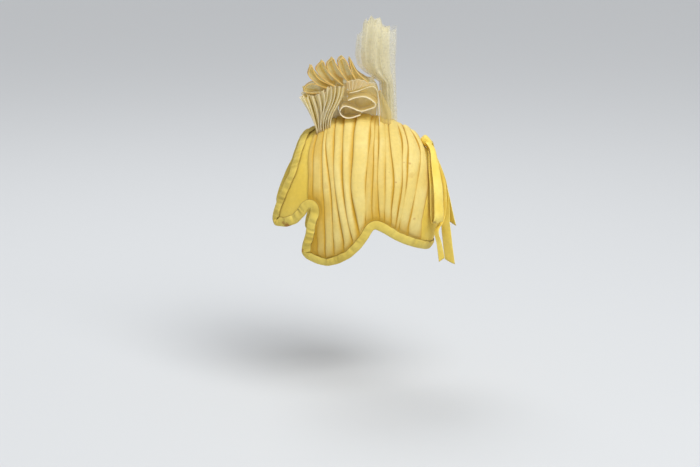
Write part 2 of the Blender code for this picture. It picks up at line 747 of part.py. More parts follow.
def make_knot(material):
    """The rounded knot of the bow."""
    out, up = axes(KNOT_LEAN)
    down = -up
    middle = CENTRE + out * (FORM_LONG + BASE_WALL + SEAT_CLEARANCE + KNOT_THICKNESS / 2)
    vertices = [middle - SIDE_AXIS * KNOT_HALF_WIDTH]
    rings = (-0.85, -0.45, 0.0, 0.45, 0.85)
    count = 12
    for ring in rings:
        size = (1.0 - abs(ring) ** 3.0) ** (1.0 / 3.0)
        for spot in range(count):
            turn = 2.0 * math.pi * spot / count
            round_out = np.sign(math.cos(turn)) * abs(math.cos(turn)) ** 0.75 * KNOT_THICKNESS / 2
            round_down = np.sign(math.sin(turn)) * abs(math.sin(turn)) ** 0.75 * KNOT_LENGTH / 2
            place = SIDE_AXIS * KNOT_HALF_WIDTH * ring
            vertices.append(middle + place + (out * round_out + down * round_down) * size)
    vertices.append(middle + SIDE_AXIS * KNOT_HALF_WIDTH)
    faces = []
    last = len(vertices) - 1
    for spot in range(count):
        following = (spot + 1) % count
        faces.append((0, 1 + following, 1 + spot))
        faces.append((last, last - count + spot, last - count + following))
        for ring in range(len(rings) - 1):
            near = 1 + ring * count
            far = near + count
            faces.append((near + spot, near + following, far + following, far + spot))
    return make_solid("bow_knot", vertices, faces, material)


def build():
    """Every piece of the hat."""
    cap = make_material("cap_cloth", (0.72, 0.55, 0.10), 0.85, 0.2)
    cover = make_material("cover_cloth", (0.80, 0.66, 0.25), 0.7, 0.4)
    binding = make_material("binding_cloth", (0.62, 0.52, 0.12), 0.75, 0.2)
    ruffle = make_material("ruffle_cloth", (0.70, 0.52, 0.22), 0.7, 0.4)
    tulle = make_material("tulle_cloth", (0.62, 0.60, 0.38), 0.8, 0.4)
    satin = make_material("ribbon_satin", (0.82, 0.68, 0.16), 0.35, 0.1)
    make_crown_base(cap)
    make_pleated_cover(cover)
    make_edge_binding(binding)
    make_ruffle_wall("ruffle_fan", FAN, 4, 0.12, 0.0, ruffle)
    make_ruffle_wall("ruffle_scroll", SCROLL, 5, 0.0, 0.0, ruffle)
    make_ruffle_wall("ruffle_back", BACK_FOLDS, 5, 0.0, 0.18, ruffle)
    make_ruffle_pleats(tulle)
    make_ruffle_panel(ruffle)
    make_plume(tulle)
    make_knot(satin)
    over_base = BASE_WALL + RIBBON_CLEARANCE + RIBBON_WALL
    make_ribbon("bow_tail_long", TAIL_LONG, 1.0, over_base, CUT_SLANT, satin)
    make_ribbon("bow_tail_wide", TAIL_WIDE, 1.0, over_base, CUT_SLANT, satin)
    make_ribbon("bow_tail_narrow", TAIL_NARROW, 1.0, over_base, -CUT_SLANT, satin)
    make_ribbon("bow_loop_left", LOOP, 1.0, over_base, 0.0, satin)
    make_ribbon("bow_loop_right", LOOP, -1.0, over_base, 0.0, satin)


for existing in list(bpy.data.objects):
    bpy.data.objects.remove(existing)
build()
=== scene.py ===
"""The looks of a pleated costume hat: a bound petal edge, a ruffle and plume on top, a ribbon bow behind.

Metres, +Z up, the front toward -Y and the wearer's left toward +X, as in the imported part.
"""

import math

import bpy
import numpy as np
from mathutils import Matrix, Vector, noise
from mathutils.bvhtree import BVHTree


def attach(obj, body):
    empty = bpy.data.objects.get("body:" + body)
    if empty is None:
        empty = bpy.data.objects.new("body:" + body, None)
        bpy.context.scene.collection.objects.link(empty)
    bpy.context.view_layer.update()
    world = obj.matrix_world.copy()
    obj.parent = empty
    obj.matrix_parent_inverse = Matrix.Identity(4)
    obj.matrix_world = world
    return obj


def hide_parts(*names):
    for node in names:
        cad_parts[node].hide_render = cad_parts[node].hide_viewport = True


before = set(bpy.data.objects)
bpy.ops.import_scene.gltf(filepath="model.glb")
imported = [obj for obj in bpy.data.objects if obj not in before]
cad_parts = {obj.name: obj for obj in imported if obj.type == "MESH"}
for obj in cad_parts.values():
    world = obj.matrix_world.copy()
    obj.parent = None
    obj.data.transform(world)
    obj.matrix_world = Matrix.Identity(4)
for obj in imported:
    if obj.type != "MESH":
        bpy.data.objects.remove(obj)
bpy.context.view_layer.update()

# The view: where the camera stands, how far it looks down, in degrees, and its lens in millimetres
CAMERA_PLACE = (1.77859, -0.01145, 0.27746)
CAMERA_PITCH = 12.85
CAMERA_LENS = 85.0
SENSOR_WIDTH = 36.0
FLOOR_HEIGHT = -0.30
FLOOR_REACH = 14.0
# What the lights face, and each soft square light: its place, size, power and colour
LIT_POINT = (0.0, 0.0, -0.05)
LIGHTS = (
    ("key_light", (1.6, 1.1, 1.7), 1.2, 30.0, (1.0, 0.99, 0.97)),
    ("top_light", (-0.9, -0.4, 1.7), 1.0, 12.0, (1.0, 1.0, 1.0)),
)
SUN_SPREAD = 40.0
SUN_POWER = 1.6
SUN_TURN = (-12.0, 28.0, 0.0)
SURROUND_COLOUR = (0.86, 0.86, 0.87, 1.0)
SURROUND_POWER = 0.45
FLOOR_COLOUR = (0.60, 0.62, 0.64, 1.0)
FLOOR_ROUGHNESS = 0.75
SHEER_LAYERS = 24

# The rounded form the hat is shaped on: half axes, and how far its long axis leans back, in degrees
FORM_LONG = 0.106
FORM_DEEP = 0.0942
FORM_HALF_WIDTH = 0.077
FORM_LEAN = 45.0
OUTLINE_LEAN = 24.0

# Cloth of the cap, its cover and its edge
BASE_WALL = 0.0016
COVER_GAP = 0.0012
PLEAT_HEIGHT = 0.0032
BINDING_WIDTH = 0.0092
BINDING_WALL = 0.0012
MITRE_SHARE = 0.90
BINDING_CLEARANCE = 0.0006
COVER_TUCK = 0.0035
COVER_DIP = 0.0099
DIP_LENGTH = 0.0016
DIP_GAP = 0.0006
# The length that the tables give their places as shares of
REACH = 0.100
# How widely the corners of the cut edge are rounded, and the step between points along it for the cap, for
# measuring and for the binding
EDGE_ROUNDING = 0.0032
CAP_STEP = 0.0026
DENSE_STEP = 0.0012
BINDING_STEP = 0.0011
# The waves of the cap over its surface and the gathers near its edge
CAP_SWELL = 0.00022
CAP_GATHER = 0.00020
# How far inside the edge the pleats begin to rise and stand free, how they sway, and how far they overhang
PLEATS_BEGIN = 0.0095
PLEATS_FREE = 0.0240
PLEAT_SWAY = 0.0008
PLEAT_OVERHANG = 0.0012
# Along the binding: how long its puckers and its fine and coarse creases are
PUCKER_LENGTH = 0.0045
FINE_CREASE = 0.0024
COARSE_CREASE = 0.0048
# How deep the creases are at the back, how much less so at the front, and how much that varies
CREASE_DEPTH = 0.00135
CREASE_EASE = 0.00080
CREASE_CHANGE = 0.00030
# Across the outside of the binding, from its inner side to the cut edge: share of its width, height as a
# share of its wall, and how bright, where below 1 the deep colour is painted in as the shadow in the groove;
# then the turns round the edge in degrees, the places inside, how far its inner lip lies in, how much the
# inside ripples, and the width of the whole strip
BINDING_SECTION = (
    (0.98, 0.25, 0.0), (1.0, 0.30, 0.0), (0.985, 0.50, 0.25), (0.95, 0.80, 0.75), (0.88, 1.05, 1.0),
    (0.76, 1.22, 1.0), (0.62, 1.34, 1.0), (0.48, 1.38, 1.0), (0.34, 1.32, 1.0), (0.20, 1.18, 1.0),
    (0.08, 1.02, 1.0),
)
BINDING_TURNS = (20.0, 45.0, 70.0, 90.0, 110.0, 135.0, 160.0)
BINDING_INSIDE = (0.15, 0.4, 0.7, 0.95, 1.0)
BINDING_LIP = 0.0003
BINDING_RIPPLE = 0.0001
BINDING_STRIP = 0.024

# Ruffle, plume and bow
RUFFLE_HALF_WIDTH = 0.028
# A height above every piece, to look down from, and the gap between the ruffle and what it stands on
HIGH_UP = 0.3
SEAT_GAP = 0.0005
# The height below which the back of the ruffle hangs down to the crown
BACK_HEM = 0.030
# The half thickness of the rolled edges, those of the back like the fan's, and the corners round each
FAN_ROLL = 0.00045
FOLD_ROLL = 0.00030
SCROLL_ROLL = 0.00060
NET_ROLL = 0.00028
PANEL_ROLL = 0.00035
ROLL_SIDES = 6
# A direction that no edge of the cloth runs in, and a length that stands for nothing
NO_EDGE_WAY = (0.9, 0.3, 0.1)
TINY = 1e-9

# The rows and columns of points that the pieces are made of
CAP_RINGS = 44
FAN_COLUMNS = 23
LEAF_GRID = (15, 9)
SIDE_FOLD_GRID = (16, 90)
CORE_GRID = (70, 170)
CARRIED_COLUMNS = 25
NET_ROWS = 16
PANEL_GRID = (16, 14)
PLUME_GRID = (44, 160)
KNOT_GRID = (33, 48)
RIBBON_COLUMNS = 13
RIBBON_WALL = 0.0005
RIBBON_OFFSET = 0.0034
RIBBON_STEPS = 9
RIBBON_SWELL = 0.00035
KNOT_LENGTH = 0.0126
KNOT_HALF_WIDTH = 0.0082
KNOT_THICKNESS = 0.0090
KNOT_LEAN = 48.0
KNOT_OFFSET = 0.0065
CUT_SLANT = 0.0045

# The cut edge on the left side, round the outline axis: azimuth from the front, angle from the axis
EDGE = (
    (0.0, 51.0), (8.0, 57.0), (20.8, 63.1), (29.5, 70.5), (35.5, 78.8), (37.3, 91.4), (37.7, 104.4),
    (38.6, 107.4), (41.5, 109.6), (51.3, 106.6), (57.3, 102.0), (60.4, 95.4), (60.7, 92.0), (61.8, 89.8),
    (63.6, 89.6), (65.0, 91.4), (65.4, 94.6), (65.9, 98.5), (68.0, 106.0), (68.4, 113.0), (69.5, 118.2),
    (73.5, 120.4), (82.2, 120.7), (89.5, 119.4), (95.4, 114.9), (100.1, 108.6), (102.8, 101.0), (103.8, 93.5),
    (104.1, 88.6), (105.2, 86.9), (107.4, 86.9), (112.5, 87.5), (122.1, 89.4), (131.1, 90.5), (142.9, 91.3),
    (160.0, 92.2), (180.0, 92.8),
)

# The valleys between the pleats, front to back, as shares of REACH at four angles down the side, the height
# of the pleat behind each valley as a share of PLEAT_HEIGHT, how far its front edge overhangs the valley,
# and how steeply it falls behind its crown
PLEAT_ANGLES = (0.0, 35.0, 70.0, 100.0)
PLEATS = (
    (-0.430, -0.535, -0.550, -0.575, 0.35, 0.2, 1.0),
    (-0.405, -0.479, -0.500, -0.450, 0.45, 0.3, 1.0),
    (-0.365, -0.391, -0.383, -0.370, 0.60, 0.3, 1.0),
    (-0.315, -0.359, -0.306, -0.280, 0.60, 0.5, 1.0),
    (-0.250, -0.276, -0.260, -0.180, 0.80, 0.5, 1.8),
    (-0.160, -0.180, -0.180, -0.088, 1.00, 0.7, 4.0),
    (-0.015, -0.060, -0.090, -0.005, 1.00, 1.0, 1.0),
    (0.135, 0.095, 0.055, 0.042, 0.45, 0.8, 1.0),
    (0.168, 0.144, 0.125, 0.113, 0.45, 0.8, 1.0),
    (0.198, 0.184, 0.175, 0.205, 0.60, 0.8, 1.0),
    (0.260, 0.253, 0.255, 0.235, 0.60, 0.8, 1.5),
    (0.295, 0.310, 0.340, 0.300, 0.80, 0.8, 1.0),
    (0.375, 0.435, 0.420, 0.350, 0.70, 1.0, 1.8),
    (0.448, 0.490, 0.466, 0.390, 0.90, 1.0, 1.0),
    (0.530, 0.628, 0.576, 0.490, 0.90, 1.0, 1.0),
    (0.585, 0.685, 0.705, 0.635, 0.30, 0.0, 1.0),
)
# The shape of one pleat from its valley to the next: place and height
PLEAT_PROFILE = (
    (0.00, 0.00), (0.02, 0.42), (0.05, 0.70), (0.10, 0.88), (0.17, 0.97), (0.27, 1.00), (0.40, 0.98),
    (0.53, 0.93), (0.65, 0.85), (0.76, 0.73), (0.85, 0.56), (0.92, 0.34), (0.97, 0.13),
)
COVER_ROWS = 90

# Ruffle pieces seen from the side, front to back and up, as shares of REACH
FAN = (
    (-0.352, 0.314), (-0.455, 0.304), (-0.558, 0.302), (-0.607, 0.326), (-0.590, 0.370), (-0.526, 0.402),
    (-0.447, 0.386), (-0.320, 0.350), (-0.431, 0.378), (-0.510, 0.437), (-0.559, 0.505), (-0.523, 0.588),
    (-0.494, 0.513), (-0.431, 0.445), (-0.265, 0.374), (-0.376, 0.437), (-0.454, 0.513), (-0.470, 0.576),
    (-0.400, 0.637), (-0.377, 0.572), (-0.312, 0.493), (-0.186, 0.390), (-0.281, 0.461), (-0.344, 0.545),
    (-0.355, 0.612), (-0.294, 0.668), (-0.268, 0.612), (-0.217, 0.529), (-0.107, 0.394), (-0.178, 0.477),
    (-0.225, 0.568), (-0.233, 0.636), (-0.192, 0.675), (-0.142, 0.616), (-0.103, 0.529), (-0.020, 0.402),
    (-0.067, 0.477), (-0.099, 0.560), (-0.112, 0.628), (-0.105, 0.663), (-0.083, 0.600), (-0.028, 0.513),
    (0.087, 0.414),
)
# Points to one loop of the fan, the point at its tip, the steps between points, and half the fan's width at
# the tip of a loop and where the loops meet
FAN_LOOP = 7
FAN_TIP = 4
FAN_STEPS = 6
FAN_TIP_WIDTH = 0.0170
FAN_BASE_WIDTH = 0.0222
# Where the leaf in each loop stands across the fan, how far its sides keep in from the loop's, and how deep
# it is hollowed and waved; then how far the whole fan sways
LEAF_SIDE = 0.72
LEAF_INSET = 0.09
LEAF_HOLLOW = 0.0030
LEAF_WAVE = 0.0004
FAN_SWAY = 0.0008
# The height that the front pleats keep below between the edges of the fan, front to back
FAN_UNDERSIDE = (
    (-0.680, 0.400), (-0.607, 0.300), (-0.558, 0.280), (-0.455, 0.282), (-0.352, 0.290), (-0.320, 0.320),
    (-0.265, 0.345), (-0.186, 0.365),
)
# The pleats on the side of the ruffle: place along them, then their top and their foot, each front to back
# and up
SIDE_FOLDS = (
    (0.00, -0.160, 0.425, -0.135, 0.330),
    (0.30, -0.085, 0.448, -0.090, 0.338),
    (0.55, -0.005, 0.452, -0.050, 0.350),
    (0.80, 0.085, 0.425, 0.060, 0.386),
    (1.00, 0.160, 0.410, 0.150, 0.392),
)
SIDE_PLEATS = 6
# How far out the side pleats stand, how far each steps over the next, how much of a pleat is its rise, and
# how far they sway outward and up
SIDE_FOLD_PLACE = 0.0237
SIDE_FOLD_STEP = 0.0022
SIDE_FOLD_RISE = 0.85
SIDE_FOLD_SWAY = 0.0005
SIDE_FOLD_WAVE = 0.0008
# The height of the gathered cloth inside the ruffle, from front to back, as shares of REACH
CORE_TOP = (
    (-0.400, 0.290), (-0.330, 0.350), (-0.200, 0.385), (-0.050, 0.400), (0.090, 0.385), (0.170, 0.345),
)
# How far that cloth reaches front and back, how wide its folds are and how long, and how far it bulges back
CORE_FRONT = -0.040
CORE_BACK = 0.017
CORE_WAVE = 0.0035
CORE_FOLD = 0.0040
CORE_BULGE = 0.003
SCROLL = (
    (-0.137, 0.235), (-0.058, 0.265), (0.050, 0.272), (0.145, 0.215), (0.151, 0.170), (0.087, 0.141),
    (-0.001, 0.120), (-0.094, 0.155), (-0.151, 0.173), (-0.194, 0.163), (-0.223, 0.112), (-0.188, 0.062),
    (-0.116, 0.047), (-0.001, 0.080),
)
BACK_FOLDS = (
    (-0.120, 0.315), (-0.020, 0.340), (0.080, 0.378), (0.145, 0.378), (0.182, 0.310), (0.193, 0.180),
    (0.202, 0.000),
)
# Front pleats of the ruffle: foot and head of each layer, front to back, and its height, as shares of REACH
PLEAT_LAYERS = (
    (-0.470, -0.640, 0.260),
    (-0.455, -0.560, 0.270),
    (-0.440, -0.440, 0.310),
    (-0.415, -0.345, 0.380),
    (-0.370, -0.260, 0.385),
    (-0.320, -0.180, 0.375),
)
# How many front pleats there are, and how far they bow, curve, sway, swing and rise unevenly
FRONT_PLEATS = 21
PLEAT_BOW = 0.0022
PLEAT_CURVE = 0.0016
NET_SWAY = 0.0007
NET_SWING = 0.0028
NET_RISE = 0.0010
# How far the pleats keep below the fan, and from where to where beside it they rise past it
UNDER_FAN = 0.0012
BESIDE_FAN = (0.0016, 0.0042)
# The side panel: height, front and back edge as shares of REACH
PANEL_SIDE = 0.0185
PANEL = (
    (0.000, 0.216, 0.330),
    (0.100, 0.213, 0.332),
    (0.170, 0.208, 0.305),
    (0.235, 0.203, 0.262),
    (0.330, 0.195, 0.218),
)
PANEL_HOLLOW = 0.003
PANEL_WAVE = 0.0006
# The plume: its front and back edge at each height, and the height of its top from front to back
PLUME = (
    (0.080, 0.212, 0.400), (0.240, 0.206, 0.390), (0.400, 0.198, 0.383), (0.450, 0.125, 0.382),
    (0.510, 0.030, 0.381), (0.580, -0.040, 0.380), (0.700, -0.062, 0.382), (0.950, -0.036, 0.382),
    (1.100, -0.020, 0.380),
)
PLUME_TOP = (
    (0.00, 0.960), (0.10, 0.990), (0.18, 1.095), (0.25, 1.060), (0.33, 1.125), (0.43, 1.080), (0.50, 1.100),
    (0.58, 1.092), (0.64, 1.020), (0.80, 1.010), (1.00, 1.050),
)
PLUME_FOOT_WIDTH = 0.0075
# The height of the plume's cloth, and its length for one unit of turn, for the weave
PLUME_CUT_HEIGHT = 0.11
PLUME_CUT_TURN = 0.020
# The height that the plume's foot is measured at, how ragged its top is, coarse and fine, how much lower that
# leaves it, and how far the net drifts
PLUME_FOOT = 0.008
PLUME_RAGGED = 0.0012
PLUME_FRAYED = 0.0006
PLUME_LOWER = 0.0018
PLUME_DRIFT = 0.0016
# The plume's sheets folded round each other: share of the whole depth, half width at the top, how much
# lower, how sheer, which also paints the inner sheets in more of the deep colour as shade, and a seed
PLUME_SHEETS = (
    (1.00, 0.0160, 0.0030, 1.00, 71),
    (0.93, 0.0140, 0.0060, 1.00, 72),
    (0.70, 0.0115, 0.0000, 0.45, 73),
    (0.56, 0.0085, 0.0010, 0.30, 74),
    (0.36, 0.0050, 0.0000, 0.30, 75),
)

# Ribbons: where the front edge and the back edge are at each height, as shares of REACH
TAIL_LONG = (
    (-0.035, 0.745, -0.005, 0.782, -0.305),
    (-0.050, 0.812, 0.030, 0.840, -0.430),
    (-0.055, 0.880, 0.030, 0.910, -0.600),
    (-0.055, 0.925, 0.030, 0.968, -0.830),
    (-0.055, 0.965, 0.040, 1.055, -1.140),
)
TAIL_WIDE = (
    (0.018, 0.745, 0.022, 0.782, -0.308),
    (0.047, 0.808, 0.075, 0.838, -0.430),
    (0.065, 0.892, 0.130, 0.925, -0.650),
    (0.070, 0.922, 0.140, 0.965, -0.900),
    (0.070, 0.905, 0.140, 0.975, -1.100),
    (0.070, 0.892, 0.130, 0.985, -1.200),
    (0.060, 0.912, 0.120, 1.012, -1.380),
    (0.050, 0.937, 0.110, 1.040, -1.560),
)
TAIL_NARROW = (
    (0.042, 0.745, 0.046, 0.778, -0.302),
    (0.100, 0.805, 0.115, 0.832, -0.430),
    (0.190, 0.880, 0.215, 0.915, -0.650),
    (0.260, 0.895, 0.290, 0.930, -0.900),
    (0.330, 0.860, 0.360, 0.900, -1.060),
    (0.400, 0.800, 0.420, 0.842, -1.160),
    (0.370, 0.825, 0.385, 0.877, -1.320),
    (0.340, 0.852, 0.355, 0.912, -1.520),
)
LOOP = (
    (0.070, 0.697, 0.070, 0.746, -0.245),
    (0.270, 0.745, 0.210, 0.800, -0.300),
    (0.400, 0.755, 0.320, 0.830, -0.430),
    (0.500, 0.775, 0.410, 0.870, -0.650),
    (0.520, 0.785, 0.425, 0.885, -0.860),
    (0.530, 0.785, 0.435, 0.890, -0.990),
    (0.500, 0.765, 0.410, 0.875, -1.055),
    (0.478, 0.750, 0.388, 0.855, -0.995),
    (0.475, 0.742, 0.385, 0.845, -0.860),
    (0.460, 0.738, 0.368, 0.838, -0.650),
    (0.390, 0.728, 0.308, 0.803, -0.475),
    (0.275, 0.732, 0.205, 0.783, -0.350),
    (0.150, 0.728, 0.120, 0.775, -0.296),
    (0.066, 0.702, 0.066, 0.752, -0.276),
)

# The ribbons: piece, node, edges, side, slant of the cut end, how far it curls and a seed
RIBBONS = (
    ("tail_long", "bow_tail_long", TAIL_LONG, 1.0, CUT_SLANT, 0.0006, 81),
    ("tail_wide", "bow_tail_wide", TAIL_WIDE, 1.0, CUT_SLANT, 0.0005, 82),
    ("tail_narrow", "bow_tail_narrow", TAIL_NARROW, 1.0, -CUT_SLANT, 0.0003, 83),
    ("loop_left", "bow_loop_left", LOOP, 1.0, 0.0, 0.0006, 84),
    ("loop_right", "bow_loop_right", LOOP, -1.0, 0.0, 0.0006, 85),
)

# Stains: place, size, strength and colour
COVER_STAINS = (
    ((0.0503, 0.0459, -0.0389), 0.0012, 0.55, (170, 105, 30)),
    ((0.0473, 0.0519, -0.0405), 0.0017, 0.50, (190, 125, 40)),
    ((0.0641, 0.0371, -0.0578), 0.0014, 0.50, (185, 120, 35)),
    ((0.0627, 0.0297, -0.0473), 0.0009, 0.45, (170, 110, 35)),
    ((0.0591, 0.0567, -0.0979), 0.0022, 0.40, (190, 120, 50)),
    ((0.0702, -0.0367, -0.0609), 0.0036, 0.22, (190, 140, 60)),
    ((0.0529, 0.0534, -0.0524), 0.0040, 0.22, (200, 150, 50)),
)
RIBBON_STAINS = (
    ((0.0450, 0.0790, -0.1045), 0.0034, 0.55, (150, 100, 30)),
)
BINDING_STAINS = (
    ((0.0604, -0.0786, -0.1057), 0.0042, 0.75, (150, 80, 25)),
    ((0.0575, -0.0824, -0.1031), 0.0024, 0.55, (160, 95, 30)),
    ((0.0629, -0.0747, -0.1063), 0.0028, 0.75, (140, 70, 25)),
    ((0.0664, -0.0631, -0.1311), 0.0032, 0.65, (150, 80, 25)),
)
WHITE = (255, 255, 255)

# The cloths: colour, the deep colour painted into the folds as shade and colour where worn pale, roughness,
# sheen, width of the threads, how strongly they stand up, share of light let through scattered and share let
# straight through.
# Then the fine creases, or None: how long and how close, and how deep; the stains; and the colour that tints
# what is seen through the cloth
CLOTHS = {
    # Its deep colour is painted shade, here on the inner skin
    "cap_cloth": (
        (224, 193, 78), (182, 146, 40), (231, 203, 94), 0.85, 0.1, 0.00045, 0.35, 0.0, 0.0, None, (), WHITE),
    # Its deep colour is painted shade in the pleat valleys
    "cover_cloth": (
        (240, 217, 127), (217, 172, 48), (245, 226, 144), 0.62, 0.1, 0.00035, 0.2, 0.20, 0.05,
        ((14.0, 700.0, 1.0), 0.0006), COVER_STAINS, WHITE),
    # Its deep colour is painted shade: in the groove, the puckers, the turn of the edge and the inside
    "binding_cloth": (
        (212, 187, 84), (132, 98, 26), (224, 202, 100), 0.80, 0.1, 0.0005, 0.35, 0.0, 0.0,
        ((260.0, 25.0, 1.0), 0.0008), BINDING_STAINS, WHITE),
    "ribbon_satin": (
        (243, 214, 96), (196, 145, 20), (249, 228, 122), 0.36, 0.05, 0.00022, 0.12, 0.08, 0.0,
        ((60.0, 25.0, 1.0), 0.0008), RIBBON_STAINS, WHITE),
    "ruffle_cloth": (
        (240, 224, 158), (204, 168, 90), (246, 232, 176), 0.55, 0.15, 0.0004, 0.2, 0.50, 0.54,
        None, (), (247, 240, 212)),
    "ruffle_band": (
        (249, 238, 194), (232, 204, 130), (252, 243, 208), 0.55, 0.15, 0.0004, 0.2, 0.55, 0.10,
        ((40.0, 300.0, 1.0), 0.0005), (), (250, 243, 214)),
    "ruffle_leaves": (
        (238, 225, 170), (204, 168, 90), (244, 232, 186), 0.55, 0.15, 0.0004, 0.2, 0.45, 0.70,
        ((300.0, 40.0, 1.0), 0.0004), (), (245, 238, 208)),
    "ruffle_pleats": (
        (250, 236, 194), (236, 208, 144), (253, 242, 208), 0.55, 0.15, 0.0004, 0.2, 0.50, 0.36,
        ((200.0, 30.0, 1.0), 0.0004), (), (250, 238, 206)),
    "ruffle_edge": (
        (232, 196, 112), (200, 150, 60), (240, 208, 130), 0.55, 0.1, 0.0004, 0.2, 0.20, 0.0,
        None, (), WHITE),
    "pale_edge": (
        (243, 232, 196), (220, 190, 130), (250, 240, 214), 0.60, 0.1, 0.0004, 0.2, 0.20, 0.0,
        None, (), WHITE),
    "ruffle_net": (
        (249, 238, 186), (232, 214, 146), (251, 243, 202), 0.70, 0.1, 0.0007, 0.3, 0.55, 0.25,
        None, (), WHITE),
    # Its deep colour is painted shade on the inner sheets
    "plume_net": (
        (249, 245, 225), (245, 239, 210), (251, 249, 235), 0.75, 0.1, 0.0007, 0.3, 0.55, 0.76,
        ((900.0, 9.0, 1.0), 0.0009), (), WHITE),
}


def unit(vectors):
    """The vectors brought to a length of one."""
    return vectors / np.maximum(np.linalg.norm(vectors, axis=-1, keepdims=True), TINY)


def distances(path):
    """How far along a path each of its points is."""
    return np.concatenate(((0.0,), np.cumsum(np.linalg.norm(np.diff(path, axis=0), axis=1))))


def read_table(table, knots, at):
    """The columns of a table between its rows, which stand at the knots."""
    return np.column_stack([np.interp(at, knots, column) for column in np.transpose(table)])


def full_turn(count):
    """So many angles evenly round a full turn."""
    return np.linspace(0.0, 2.0 * math.pi, count, endpoint=False)


def place_thing(name, data):
    """A new object in the scene with so much data."""
    thing = bpy.data.objects.new(name, data)
    bpy.context.scene.collection.objects.link(thing)
    return thing


def axes(lean):
    """The directions along and across an axis in the middle plane that leans back by so many degrees."""
    angle = math.radians(lean)
    along = np.array((0.0, math.sin(angle), math.cos(angle)))
    across = np.array((0.0, -math.cos(angle), math.sin(angle)))
    return along, across


LONG_AXIS, DEEP_AXIS = axes(FORM_LEAN)
SIDE_AXIS = np.array((1.0, 0.0, 0.0))
FRAME = np.stack((SIDE_AXIS, LONG_AXIS, DEEP_AXIS))
HALF_AXES = np.array((FORM_HALF_WIDTH, FORM_LONG, FORM_DEEP))


def form_centre():
    """The middle of the form, set so that its highest point is the origin."""
    lean = math.radians(FORM_LEAN)
    height = math.hypot(FORM_LONG * math.cos(lean), FORM_DEEP * math.sin(lean))
    shift = (FORM_LONG ** 2 - FORM_DEEP ** 2) * math.sin(lean) * math.cos(lean) / height
    return np.array((0.0, -shift, -height))


CENTRE = form_centre()


def form_points(directions, offset):
    """Points so far outside the form, in directions given on the unit ball."""
    away = unit(directions / HALF_AXES) * np.asarray(offset)[..., None]
    return (directions * HALF_AXES + away) @ FRAME + CENTRE


def form_directions(points):
    """The directions on the unit ball of points near the form."""
    return unit((points - CENTRE) @ FRAME.T / HALF_AXES)


def outline_directions(azimuth, angle):
    """Directions on the unit ball from azimuth and angle round the outline axis, in degrees."""
    turn = math.radians(FORM_LEAN - OUTLINE_LEAN)
    azimuth = np.radians(azimuth)
    angle = np.radians(angle)
    up = np.cos(angle)
    front = np.sin(angle) * np.cos(azimuth)
    side = np.sin(angle) * np.sin(azimuth)
    along = up * math.cos(turn) - front * math.sin(turn)
    across = up * math.sin(turn) + front * math.cos(turn)
    return np.stack((side, along, across), axis=-1)


def lift_clear(points, offset):
    """The points moved straight out from the middle of the form until they are so far outside it."""
    local = (points - CENTRE) @ FRAME.T
    reach = np.linalg.norm(local / (HALF_AXES + offset), axis=-1, keepdims=True)
    return (local / np.minimum(reach, 1.0)) @ FRAME + CENTRE


def cross_section(y):
    """Middle height, half height and half width of the form cut straight across at y."""
    lean = math.radians(FORM_LEAN)
    shift = np.asarray(y) - CENTRE[1]
    square = (math.cos(lean) / FORM_LONG) ** 2 + (math.sin(lean) / FORM_DEEP) ** 2
    mixed = shift * math.sin(lean) * math.cos(lean) * (1.0 / FORM_LONG ** 2 - 1.0 / FORM_DEEP ** 2)
    rest = shift ** 2 * ((math.sin(lean) / FORM_LONG) ** 2 + (math.cos(lean) / FORM_DEEP) ** 2) - 1.0
    room = np.maximum(mixed ** 2 - square * rest, 0.0)
    return CENTRE[2] - mixed / square, np.sqrt(room) / square, FORM_HALF_WIDTH * np.sqrt(room / square)


def side_directions(y, angle):
    """Directions on the unit ball at y, so many degrees down the side from the top."""
    middle, half_height, half_width = cross_section(y)
    angle = np.radians(angle)
    height = middle + half_height * np.cos(angle)
    points = np.stack((half_width * np.sin(angle), np.asarray(y) + 0.0 * angle, height), axis=-1)
    return form_directions(points)


def spline(knots, values, at):
    """A smooth curve through the values at the knots; flat beyond the two ends."""
    knots = np.asarray(knots, float)
    values = np.asarray(values, float)
    slopes = np.gradient(values, knots, axis=0)
    at = np.clip(np.asarray(at, float), knots[0], knots[-1])
    cell = np.clip(np.searchsorted(knots, at, side="right") - 1, 0, len(knots) - 2)
    width = knots[cell + 1] - knots[cell]
    share = (at - knots[cell]) / width
    if values.ndim > 1:
        share = share[:, None]
        width = width[:, None]
    rest = 1 - share
    start = values[cell] * (1 + 2 * share) * rest ** 2 + slopes[cell] * width * share * rest ** 2
    end = values[cell + 1] * share ** 2 * (3 - 2 * share) - slopes[cell + 1] * width * share ** 2 * rest
    return start + end


def smooth_path(points, steps):
    """A path with so many steps between its points, rounded through them."""
    knots = np.arange(len(points), dtype=float)
    return spline(knots, np.array(points), np.linspace(0.0, knots[-1], steps * (len(points) - 1) + 1))


def waver(at, step, seed):
    """Smooth random values between about -1 and 1 along a line, with a new value every step."""
    at = np.asarray(at, float) / step
    knots = np.arange(math.floor(at.min()) - 1, math.ceil(at.max()) + 3)
    values = np.random.default_rng(seed).uniform(-1.0, 1.0, len(knots))
    return spline(knots, values, at.ravel()).reshape(at.shape)


def ripple(first, second, seed):
    """Smooth random values between about -1 and 1 over a surface, one swell for each unit."""
    spots = zip(np.ravel(first), np.ravel(second))
    values = [noise.noise((one, other, seed * 7.31)) for one, other in spots]
    return np.array(values).reshape(np.shape(first)) * 1.6


def smooth_step(low, high, value):
    """0 below low, 1 above high and an easy passage between."""
    share = np.clip((np.asarray(value, float) - low) / (high - low), 0.0, 1.0)
    return share * share * (3.0 - 2.0 * share)


# Materials


